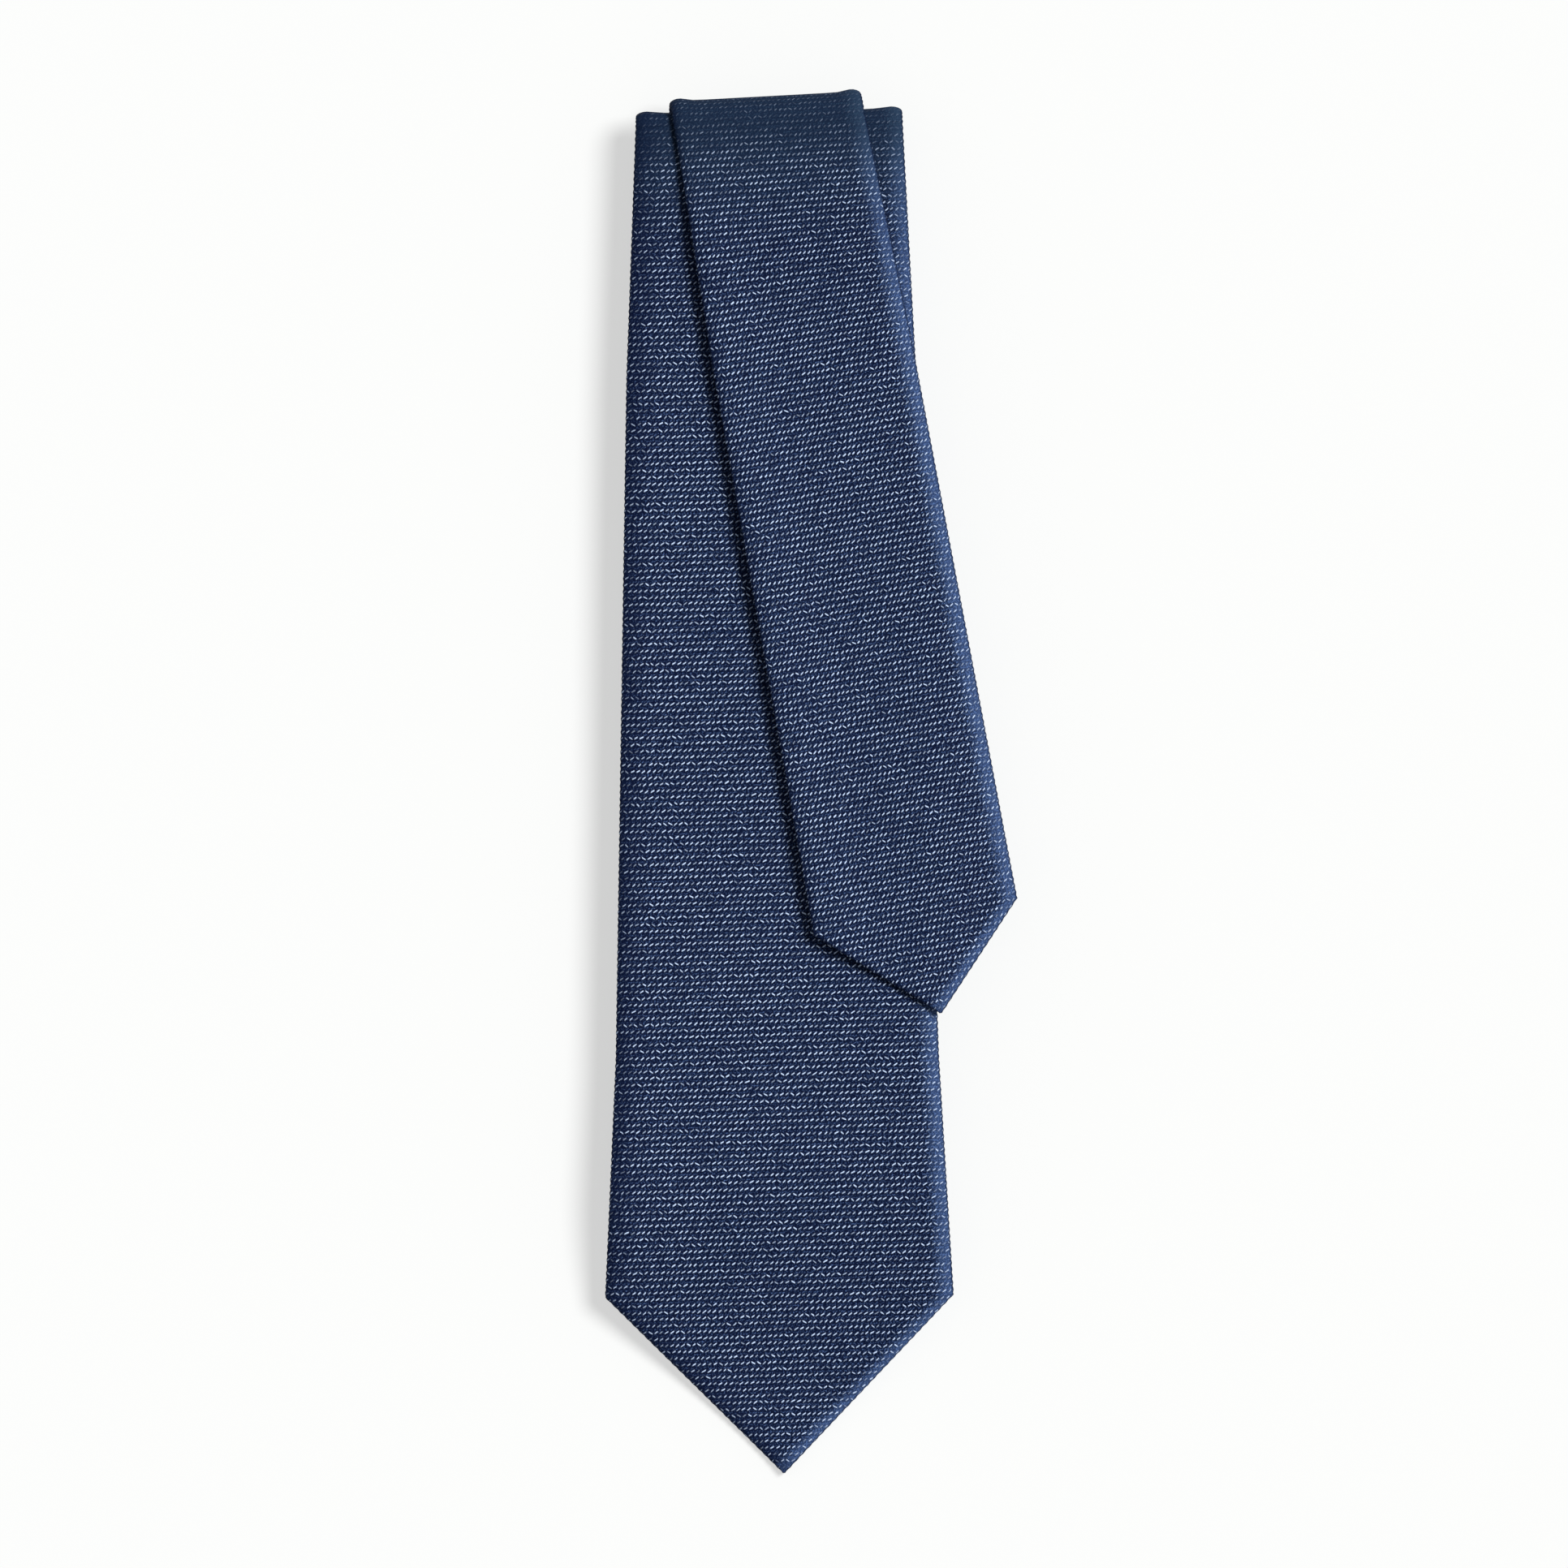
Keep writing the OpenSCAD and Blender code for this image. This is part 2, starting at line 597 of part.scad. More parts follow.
module fold_lining(r, width, way, slit_outside) {
  back = lining_z0;
  face = layer_t - lining_z1;
  r_out = slit_outside ? r - back : r - face;
  rotate([0, 90, 0]) intersection() {
    difference() {
      cylinder(h = width - 2 * lining_inset, r = r_out, center = true, $fn = 64);
      cylinder(h = width + eps, r = r_out - lining_t, center = true, $fn = 64);
    }
    translate([-2 * r, way > 0 ? 0 : -2 * r, -width]) cube([4 * r, 2 * r, 2 * width]);
  }
}
module at_top(at, tilt) {
  framed() translate([at[0], at[1], top_z]) rotate([0, 0, tilt]) children();
}
module at_bottom(x) {
  framed() translate([x, bottom_y(x), bottom_z]) rotate([0, 0, bottom_tilt]) children();
}
tail_top_at = [tail_fold_dx / 2, tail_top_y(tail_fold_dx / 2)];
wide_top_w = blade_fold_w / cos(blade_cut);
tail_top_w = tail_fold_w / cos(tail_cut);
module wide_top_fold_shell() {
  color(cloth_colour) at_top([0, 0], wide_top_tilt) fold_tube(wide_top_r, wide_top_w, 1, false);
}
module wide_top_fold_lining() {
  color(lining_colour) at_top([0, 0], wide_top_tilt) fold_lining(wide_top_r, wide_top_w, 1, false);
}
module tail_top_fold_shell() {
  color(cloth_colour) at_top(tail_top_at, tail_top_tilt) fold_tube(tail_top_r, tail_top_w, 1, false);
}
module tail_top_fold_lining() {
  color(lining_colour) at_top(tail_top_at, tail_top_tilt) fold_lining(tail_top_r, tail_top_w, 1, false);
}
module wide_bottom_fold_shell() {
  color(cloth_colour) at_bottom(wide_bottom_x) fold_tube(wide_bottom_r, blade_bottom_w, -1, true);
}
module wide_bottom_fold_lining() {
  color(lining_colour) at_bottom(wide_bottom_x) fold_lining(wide_bottom_r, blade_bottom_w, -1, true);
}
module tail_bottom_fold_shell() {
  color(cloth_colour) at_bottom(tail_bottom_x) fold_tube(tail_bottom_r, tail_bottom_w, -1, true);
}
module tail_bottom_fold_lining() {
  color(lining_colour) at_bottom(tail_bottom_x) fold_lining(tail_bottom_r, tail_bottom_w, -1, true);
}

// The turn at the neck: each leg folds over a slanted line into a bridge between them.
// The bridge lies under the tail's leg on the left and over the wide strip's leg on the right.
turn_half = neck_w + leg_gap / 2;
roll_t = layer_t / 2;
module turn_frame() {
  framed() translate([neck_x, turn_y, 0]) children();
}
module turn_side(way, leg_z, bridge_z, inset, reach) {
  outer = turn_half - 2 * inset;
  post = roll_t - inset;
  low = -reach;
  top = neck_w - inset;
  clear = 2 * (layer_gap + inset);
  inner = leg_gap / 2 + inset;
  near = roll_t + clear;
  // the leg's own triangle
  slab_way(way, [[outer, low], [near, low], [near, top - clear], [outer, inset]],
    leg_z + inset, leg_z + layer_t - inset);
  // its half of the bridge
  slab_way(way, [[outer, inset], [0, inset], [0, top], [inner, top]],
    bridge_z + inset, bridge_z + layer_t - inset);
  // the rolled edge along the slanted fold
  upper = top - clear;
  slab_way(way,
    [[outer, inset], [inner + clear, upper], [inner + clear, upper - 2 * post], [outer - 2 * post, inset]],
    min(leg_z, bridge_z) + inset, max(leg_z, bridge_z) + layer_t - inset);
}
module slab_way(way, outline, z0, z1) {
  slab([for (p = outline) [way * p[0], p[1]]], z0, z1);
}
module turn_solid(inset, reach) {
  post = roll_t - inset;
  turn_side(-1, tail_base_z, wide_base_z, inset, reach);
  turn_side(1, wide_base_z, tail_base_z, inset, reach);
  // the bridge rises between the legs
  slab([[-post, inset], [post, inset], [post, neck_w - inset], [-post, neck_w - inset]],
    wide_base_z + inset, tail_base_z + layer_t - inset);
}
module neck_shell_turn() {
  color(cloth_colour) turn_frame() difference() {
    turn_solid(0, 0);
    turn_solid(cloth_t, eps);
  }
}
module neck_lining_turn() {
  color(lining_colour) turn_frame() turn_solid((layer_t - lining_t) / 2, 0);
}

blade_shell();
blade_lining();
blade_tipping();
blade_slip_stitch();
blade_bar_tack();
keeper_loop();
keeper_tack_left();
keeper_tack_right();
label_blank();
label_stitches();
care_tag_blank();
tail_shell();
tail_lining();
tail_tipping();
tail_slip_stitch();
tail_bar_tack();
tail_lift_shell();
tail_lift_lining();
wide_middle_shell();
wide_middle_lining();
wide_middle_slip_stitch();
tail_middle_shell();
tail_middle_lining();
tail_middle_slip_stitch();
wide_top_fold_shell();
wide_top_fold_lining();
tail_top_fold_shell();
tail_top_fold_lining();
wide_base_shell();
wide_base_lining();
wide_base_slip_stitch();
tail_base_shell();
tail_base_lining();
tail_base_slip_stitch();
wide_bottom_fold_shell();
wide_bottom_fold_lining();
tail_bottom_fold_shell();
tail_bottom_fold_lining();
neck_shell_right();
neck_shell_left();
neck_shell_turn();
neck_lining_turn();
wide_bias_seam();
tail_bias_seam();
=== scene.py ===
import math
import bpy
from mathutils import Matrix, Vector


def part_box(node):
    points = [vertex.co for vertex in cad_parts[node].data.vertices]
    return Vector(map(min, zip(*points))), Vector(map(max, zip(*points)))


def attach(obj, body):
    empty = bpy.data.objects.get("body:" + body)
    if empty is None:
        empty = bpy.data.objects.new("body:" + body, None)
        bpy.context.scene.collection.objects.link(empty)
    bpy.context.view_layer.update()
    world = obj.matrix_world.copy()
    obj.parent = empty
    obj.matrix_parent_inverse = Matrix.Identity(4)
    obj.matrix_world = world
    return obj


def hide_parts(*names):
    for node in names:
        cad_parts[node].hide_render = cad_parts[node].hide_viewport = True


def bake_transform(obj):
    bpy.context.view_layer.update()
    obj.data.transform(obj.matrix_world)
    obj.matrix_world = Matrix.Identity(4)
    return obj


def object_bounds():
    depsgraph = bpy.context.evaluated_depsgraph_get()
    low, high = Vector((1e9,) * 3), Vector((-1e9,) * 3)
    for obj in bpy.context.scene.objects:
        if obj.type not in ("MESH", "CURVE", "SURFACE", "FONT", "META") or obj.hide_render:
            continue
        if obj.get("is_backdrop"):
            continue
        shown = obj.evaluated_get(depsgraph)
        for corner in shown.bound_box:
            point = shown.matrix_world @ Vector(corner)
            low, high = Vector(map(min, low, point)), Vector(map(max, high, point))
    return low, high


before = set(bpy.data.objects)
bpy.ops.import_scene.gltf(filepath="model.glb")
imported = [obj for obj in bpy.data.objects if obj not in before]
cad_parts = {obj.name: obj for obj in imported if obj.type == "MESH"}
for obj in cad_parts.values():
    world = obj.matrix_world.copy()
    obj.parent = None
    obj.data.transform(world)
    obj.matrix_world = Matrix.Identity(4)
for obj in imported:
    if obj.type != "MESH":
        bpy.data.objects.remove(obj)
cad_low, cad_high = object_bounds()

from types import SimpleNamespace

import bmesh
import bpy
import numpy as np

# A necktie of ribbed silk, folded in half at the neck and then in thirds.
# Sizes here are in millimetres, and a mesh is turned into metres when it is made.
MM = 0.001

# ---- sizes of the strips
BLADE_W = 80.0
BLADE_TIP_H = 41.0
BLADE_LEG = 309.7
BLADE_TIP_SHIFT = 0.7
BLADE_WIDTHS = [(41.0, 80.0), (96.0, 74.2), (252.0, 66.6), (309.7, 61.3), (565.8, 44.0), (765.5, 30.0)]
BLADE_LEAN = 0.5
BLADE_TILT = 1.2
BLADE_OPEN_H = 88.0
DROOP_START = 240.0
DROOP_RUN = 62.0

TAIL_W = 47.6
TAIL_TIP_H = 23.0
TAIL_LEG = 208.6
TAIL_TIP_SHIFT = 1.8
TAIL_WIDTHS = [(23.0, 47.6), (155.0, 46.2), (208.6, 43.7), (473.2, 36.5), (664.4, 30.0)]
TAIL_LEAN = 10.4
TAIL_TILT = 3.1
TAIL_RISE = 0.8
TAIL_OPEN_H = 52.0
LIFT_ZONE = 8.0

MIDDLE_LEG = 250.0
BASE_LEG = 187.0
NECK_W = 30.0
LEG_GAP = 0.4
WIDE_SHARE = 0.25
WIDE_SEAM_AT = 72.0
TAIL_SEAM_AT = 64.0
SEAM_ANGLE = 45.0
SEAM_W = 0.3

CLOTH_T = 0.5
LINING_T = 0.8
TIPPING_T = 0.3
PLY_GAP = 0.1
SLIT_HALF = 0.2
THREAD_R = 0.15
HEM_W = 3.0
TIPPING_LAP = 25.0
FLAP_SHARE = 0.1

# ---- the weave
ROW_PITCH = 1.53
ROWS_PER_RIB = 4
RIB_RISE = 0.09
BLADE_DASH_PITCH = 1.24
TAIL_DASH_PITCH = 1.12
BLADE_ROW_SLOPE = 0.022


# ---- places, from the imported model
def level(node, corner=0):
    """Height of a node's underside, or of its top with corner 1, in millimetres."""
    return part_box(node)[corner].z / MM


LAYER = level("tail_shell", 1) - level("tail_shell")
HALF = LAYER / 2
WIDE_BASE_Z = level("wide_base_shell")
TAIL_BASE_Z = level("tail_base_shell")
TAIL_MIDDLE_Z = level("tail_middle_shell")
WIDE_MIDDLE_Z = level("wide_middle_shell")
TAIL_Z = level("tail_shell")
BLADE_Z = level("label_blank", 1)
TOP_Z = (TAIL_MIDDLE_Z + TAIL_Z + LAYER) / 2
BOTTOM_Z = (WIDE_BASE_Z + WIDE_MIDDLE_Z + LAYER) / 2
WIDE_TOP_R = TOP_Z - WIDE_MIDDLE_Z - HALF
TAIL_TOP_R = TOP_Z - TAIL_MIDDLE_Z - HALF
WIDE_BOTTOM_R = BOTTOM_Z - WIDE_BASE_Z - HALF
TAIL_BOTTOM_R = BOTTOM_Z - TAIL_BASE_Z - HALF


def turned(x, y, angle):
    a = math.radians(angle)
    return x * math.cos(a) - y * math.sin(a), x * math.sin(a) + y * math.cos(a)


def tangent(angle):
    return math.tan(math.radians(angle))


# Directions and crossing points of the legs, measured from the middle of the wide strip's top fold.
TAIL_TOP_DX = -math.pi * TAIL_TOP_R * tangent(TAIL_LEAN / 2)
SPREAD = math.degrees(math.atan((NECK_W + LEG_GAP + TAIL_TOP_DX) / (MIDDLE_LEG + BASE_LEG)))
WIDE_MIDDLE_TURN = WIDE_SHARE * SPREAD
TAIL_MIDDLE_TURN = -(1 - WIDE_SHARE) * SPREAD
WIDE_BOTTOM_X = MIDDLE_LEG * tangent(WIDE_MIDDLE_TURN)
TAIL_BOTTOM_X = TAIL_TOP_DX + MIDDLE_LEG * tangent(TAIL_MIDDLE_TURN)
LEGS_X = (WIDE_BOTTOM_X + TAIL_BOTTOM_X) / 2
TURN_Y = BASE_LEG - MIDDLE_LEG
NECK_X = -TURN_Y * tangent(BLADE_LEAN)
LEGS_TURN = math.degrees(math.atan((LEGS_X - NECK_X) / BASE_LEG))
BOTTOM_TILT = (LEGS_TURN + (WIDE_MIDDLE_TURN + TAIL_MIDDLE_TURN) / 2) / 2
WIDE_BASE_TURN = 2 * BOTTOM_TILT - WIDE_MIDDLE_TURN
TAIL_BASE_TURN = 2 * BOTTOM_TILT - TAIL_MIDDLE_TURN


def tail_top_y(x):
    return TAIL_RISE + x * tangent(TAIL_TILT)


def bottom_y(x):
    return -MIDDLE_LEG + (x - LEGS_X) * tangent(BOTTOM_TILT)


left_corner = turned(-BLADE_W / 2, BLADE_TIP_H - BLADE_LEG, BLADE_LEAN)
blade_point = turned(BLADE_TIP_SHIFT, -BLADE_LEG, BLADE_LEAN)
blade_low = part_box("blade_shell")[0]
ORIGIN = np.array([blade_low.x / MM - left_corner[0], blade_low.y / MM - blade_point[1], 0.0])
UP = np.array([0.0, 0.0, 1.0])


def place(x, y, z=0.0):
    """A point of the layout, in the row frame."""
    return ORIGIN + np.array([x, y, z])


def metres(point):
    return tuple((point * MM).tolist())


def flat_direction(angle):
    return np.array([math.cos(math.radians(angle)), math.sin(math.radians(angle)), 0.0])


def smooth(t):
    t = np.clip(t, 0.0, 1.0)
    return t * t * (3 - 2 * t)


# ---- shapes of the two strips
SIDE_EDGE = 4.4
HEM_EDGE = 1.5
FOLD_EDGE = 2.5
NECK_EDGE = 2.2
LEAST = 0.05


def table(s, *pairs):
    return np.interp(s, [p[0] for p in pairs], [p[1] for p in pairs])


def strip_shape(s, widths, w, tip_h, leg, shift, open_h):
    """Sides, rolled edge and back borders of a strip at distance s from its point."""
    half = table(s, *widths) / 2
    share = np.clip(s / tip_h, 0, 1)
    right = np.where(s < tip_h, shift + (w / 2 - shift) * share, half)
    left = np.where(s < tip_h, shift - (w / 2 + shift) * share, -half)
    half_angle = math.atan(w / 2 / tip_h)
    hem_edge = HEM_EDGE / math.sin(half_angle)
    edge = table(
        s, (0, hem_edge), (tip_h - 3, hem_edge), (tip_h + 14, SIDE_EDGE),
        (leg - 34, SIDE_EDGE), (leg - 2, FOLD_EDGE), (leg + 60, FOLD_EDGE), (leg + 450, NECK_EDGE),
    )
    edge = np.minimum(edge, 0.4 * (right - left) / 2 + 0.02)
    hem_s = HEM_W / math.sin(half_angle)
    flap_x = w / 2 - FLAP_SHARE * w
    flap_s = hem_s + flap_x / math.tan(half_angle)
    gap_right = table(s, (hem_s, shift + LEAST), (flap_s, flap_x), (open_h, SLIT_HALF))
    gap_left = table(s, (hem_s, shift - LEAST), (flap_s, -flap_x), (open_h, -SLIT_HALF))
    gap_right = np.minimum(gap_right, right - edge - LEAST)
    gap_left = np.maximum(gap_left, left + edge + LEAST)
    return left, right, edge, gap_left, gap_right


def wide_shape(s):
    return strip_shape(s, BLADE_WIDTHS, BLADE_W, BLADE_TIP_H, BLADE_LEG, BLADE_TIP_SHIFT, BLADE_OPEN_H)


def tail_shape(s):
    return strip_shape(s, TAIL_WIDTHS, TAIL_W, TAIL_TIP_H, TAIL_LEG, TAIL_TIP_SHIFT, TAIL_OPEN_H)


# ---- rows of a strip
SLANT_PASSES = 3
FALL_STEP = 0.05


def row_places(start, end, step, keep=()):
    """Distances from start to end at whole steps, with both ends and the ones in keep."""
    whole = np.arange(math.ceil(start / step), math.floor(end / step) + 1) * step
    fixed = np.array([start, end, *keep])
    clear = np.abs(whole[:, None] - fixed[None, :]).min(1) > step / 4
    return np.sort(np.concatenate([whole[clear], fixed]))


def leg_rows(at, turn, way, s, v, mid_z, face, shape, tilts, blends, length, skewed=False):
    """Rows of a flat leg. way is 1 for a leg that runs to +Y from its fold and -1 for one to -Y.
    tilts are the angles of its end rows, and blends the lengths over which its rows turn to them."""
    across = flat_direction(turn)
    square = flat_direction(turn + 90)
    along = way * square
    lean = tangent(tilts[0] - turn) * (1 - smooth(v / blends[0]))
    lean = lean + tangent(tilts[1] - turn) * (1 - smooth((length - v) / blends[1]))
    s_way = np.sign(s[-1] - s[0]) * np.sign(v[-1] - v[0])
    slope = s_way * way * lean
    left, right, edge, gap_left, gap_right = shape(s)
    for _ in range(SLANT_PASSES):
        right = shape(s + slope * right)[1]
        left = shape(s + slope * left)[0]
    z = mid_z(v)
    fall = (mid_z(v + FALL_STEP) - mid_z(v - FALL_STEP)) / (2 * FALL_STEP)
    normal = face * (UP[None, :] - fall[:, None] * along[None, :])
    normal = normal / np.linalg.norm(normal, axis=1)[:, None]
    return SimpleNamespace(
        centre=place(*at)[None, :] + along[None, :] * v[:, None] + UP[None, :] * z[:, None],
        across=across[None, :] + lean[:, None] * square[None, :],
        normal=normal,
        left=left, right=right, edge=edge, gap_left=gap_left, gap_right=gap_right,
        s=s, skew=slope if skewed else np.zeros_like(s), distance=v,
    )


def roll_rows(at0, at1, z, tilt, radius, way, theta, s, shape, stretch, ear):
    """Rows round a roll, at the angles theta."""
    across = flat_direction(tilt)
    outward = way * flat_direction(tilt + 90)
    share = theta / math.pi
    ring = place(*at0)[None, :] * (1 - share[:, None]) + place(*at1)[None, :] * share[:, None]
    spoke = np.cos(theta)[:, None] * UP[None, :] + np.sin(theta)[:, None] * outward[None, :]
    left, right, edge, gap_left, gap_right = shape(s)
    scale = stretch[0] * (1 - share) + stretch[1] * share
    return SimpleNamespace(
        centre=ring + UP[None, :] * z + radius * spoke,
        across=across[None, :] * scale[:, None],
        normal=way * spoke,
        left=left, right=right, edge=edge, gap_left=gap_left, gap_right=gap_right,
        s=s, skew=np.zeros_like(s), distance=radius * theta,
        ear=ear * np.sin(theta), outward=outward,
    )


# ---- meshes
def make_object(name, points, faces, uv=None, sharp=60, sides=None):
    """A mesh object in metres, with the cloth's own coordinates as a map named weave.
    The map named sides holds a tube's distances from its left and right edges."""
    mesh = bpy.data.meshes.new(name)
    mesh.vertices.add(len(points))
    mesh.vertices.foreach_set("co", (points * MM).astype(np.float32).ravel())
    mesh.loops.add(faces.size)
    mesh.loops.foreach_set("vertex_index", faces.astype(np.int32).ravel())
    mesh.polygons.add(len(faces))
    mesh.polygons.foreach_set("loop_start", np.arange(0, faces.size, faces.shape[1], dtype=np.int32))
    mesh.update(calc_edges=True)
    mesh.validate()
    corner = np.empty(len(mesh.loops), np.int32)
    mesh.loops.foreach_get("vertex_index", corner)
    for map_name, values in (("weave", uv), ("sides", sides)):
        if values is not None:
            layer = mesh.uv_layers.new(name=map_name)
            layer.data.foreach_set("uv", (values[corner] * MM).astype(np.float32).ravel())
    work = bmesh.new()
    work.from_mesh(mesh)
    bmesh.ops.recalc_face_normals(work, faces=work.faces)
    work.to_mesh(mesh)
    work.free()
    mesh.polygons.foreach_set("use_smooth", np.ones(len(mesh.polygons), bool))
    mesh.set_sharp_from_angle(angle=math.radians(sharp))
    obj = bpy.data.objects.new(name, mesh)
    bpy.context.scene.collection.objects.link(obj)
    return obj


def grid_faces(index, flip=False):
    """Quads between neighbouring rows and columns of an index grid."""
    a, b = index[:-1, :-1], index[:-1, 1:]
    c, d = index[1:, 1:], index[1:, :-1]
    corners = (a, d, c, b) if flip else (a, b, c, d)
    return np.stack([k.ravel() for k in corners], 1)


def closed_sheet(name, outer, inner, uv, sides=None):
    """A sheet with thickness: two grids of points, joined along their four borders."""
    rows, cols = outer.shape[:2]
    out = np.arange(rows * cols).reshape(rows, cols)
    inn = out + rows * cols
    faces = [grid_faces(out), grid_faces(inn, True)]
    for border, flip in ((np.s_[:, 0], True), (np.s_[:, -1], False), (np.s_[0], False), (np.s_[-1], True)):
        faces.append(grid_faces(np.stack([out[border], inn[border]], 1), flip))
    points = np.concatenate([outer.reshape(-1, 3), inner.reshape(-1, 3)])
    if sides is not None:
        sides = np.concatenate([sides.reshape(-1, 2)] * 2)
    uv = np.concatenate([uv.reshape(-1, 2)] * 2)
    return make_object(name, points, np.concatenate(faces), uv, sides=sides)


RIPPLE = 0.05


def uneven(points):
    """Points with the slow unevenness of lying cloth."""
    x, y = points[..., 0], points[..., 1]
    wave = np.sin(x / 7.1 + y / 23.0) + np.sin(y / 13.7 - x / 17.0 + 1.3) + np.sin(x / 11.0 - y / 31.0 + 2.1)
    points = points.copy()
    points[..., 2] += RIPPLE * wave
    return points


def sections(rows, back_count, roll_count, face_count):
    """Columns round a flat tube that is open along its back: places, outward directions and girth."""
    n_rows = len(rows.s)
    one = np.ones(n_rows)[:, None]
    edge = rows.edge[:, None]
    left, right = rows.left[:, None], rows.right[:, None]

    def part(a, n, out_a, out_n):
        return [np.broadcast_to(k, (n_rows, np.shape(k)[-1])) for k in (a, n * one, out_a * one, out_n * one)]

    t = np.linspace(0, 1, back_count + 1)[None, :]
    zero, unit = np.zeros_like(t), np.ones_like(t)
    start = rows.gap_left[:, None]
    back_left = part(start + (left + edge - start) * t, -HALF * unit, zero, -unit)
    end = rows.gap_right[:, None]
    back_right = part(right - edge + (end - right + edge) * t, -HALF * unit, zero, -unit)
    angle = np.linspace(-math.pi / 2, math.pi / 2, roll_count + 1)[None, :]
    roll_left = part(left + edge - edge * np.cos(angle), HALF * np.sin(angle), -np.cos(angle), np.sin(angle))
    angle = angle[:, ::-1]
    roll_right = part(right - edge + edge * np.cos(angle), HALF * np.sin(angle), np.cos(angle), np.sin(angle))
    t = np.linspace(0, 1, face_count + 1)[None, :]
    face = part(left + edge + (right - left - 2 * edge) * t, HALF * np.ones_like(t), 0 * t, 1 + 0 * t)
    joined = []
    for k in range(4):
        joined.append(np.concatenate(
            [back_left[k], roll_left[k][:, 1:], face[k][:, 1:], roll_right[k][:, 1:], back_right[k][:, 1:]], 1
        ))
    a, n, out_a, out_n = joined
    girth = np.concatenate([np.zeros((n_rows, 1)), np.cumsum(np.hypot(np.diff(a), np.diff(n)), 1)], 1)
    middle = back_count + roll_count + face_count // 2
    return a, n, out_a, out_n, girth - girth[:, middle:middle + 1]


EAR_START = 0.72
EAR_RUN = 0.2
EAR_BASE = 0.45


def straight_place(rows, a, n):
    """Places a flat tube's points on its rows, with ears where a rolled fold has them."""
    points = rows.centre[:, None, :] + rows.across[:, None, :] * a[..., None]
    points = points + rows.normal[:, None, :] * n[..., None]
    if hasattr(rows, "ear"):
        reach = np.abs(a) / np.maximum(rows.right, 1)[:, None]
        flare = smooth((reach - EAR_START) / EAR_RUN) - EAR_BASE
        points = points + rows.outward[None, None, :] * (flare * rows.ear[:, None])[..., None]
    return points


def cloth_tube(name, rows, counts=(6, 10, 14), rib=RIB_RISE, place_by=straight_place, shift=None, slope=0.0):
    """The silk shell of one length of strip, closed at its borders. Returns it with its flat size."""
    a, n, out_a, out_n, girth = sections(rows, *counts)
    along = rows.s[:, None] + (rows.skew[:, None] - slope) * a
    wave = rib * np.cos(2 * math.pi * along / ROW_PITCH)
    thick = np.minimum(CLOTH_T, 0.6 * rows.edge)[:, None]
    outer = place_by(rows, a + wave * out_a, n + wave * out_n)
    inner = place_by(rows, a - thick * out_a, n - thick * out_n)
    if shift is not None:
        outer, inner = shift(outer), shift(inner)
    sides = np.stack([a - rows.left[:, None], rows.right[:, None] - a], -1)
    obj = closed_sheet(name, outer, inner, np.stack([girth, along], -1), sides)
    width = girth[:, -1] - girth[:, 0]
    length = abs(rows.distance[-1] - rows.distance[0])
    area = abs(np.trapz(width, rows.distance))
    return obj, (width.max() * MM, length * MM), area * MM * MM


RIM_SHARE = 0.25


def chosen(rows, keep):
    """Some of the rows of a leg."""
    return SimpleNamespace(**{
        k: (value[keep] if np.shape(value)[:1] == rows.s.shape else value) for k, value in vars(rows).items()
    })


def flat_strip(name, rows, inset, n0, n1, columns=9, step=4, place_by=straight_place, shift=None, bulge=0.0):
    """A ply inside a tube: its sides keep inside the shell's rolled edges, and its rims are thinner."""
    part = chosen(rows, np.unique(np.append(np.arange(0, len(rows.s), step), len(rows.s) - 1)))
    t = np.linspace(-1, 1, columns)[None, :]
    middle = ((part.left + part.right) / 2)[:, None]
    reach = np.maximum((part.right - part.left) / 2 - inset, 0.05)[:, None]
    a = middle + reach * t
    rim = np.where(np.abs(t) == 1, RIM_SHARE, 1.0)
    centre = (n0 + n1) / 2
    half = (n1 - n0) / 2
    lift = bulge * np.sin(part.s / 5.3)[:, None] * np.sin(2.2 * t + part.s[:, None] / 17)
    outer = place_by(part, a, centre + half * rim + lift)
    inner = place_by(part, a, centre - half * rim + lift)
    if shift is not None:
        outer, inner = shift(outer), shift(inner)
    along = part.s[:, None] + part.skew[:, None] * a
    obj = closed_sheet(name, outer, inner, np.stack([a + 0 * along, along], -1))
    length = abs(part.distance[-1] - part.distance[0])
    area = abs(np.trapz(2 * reach[:, 0], part.distance))
    return obj, (2 * reach.max() * MM, length * MM), area * MM * MM


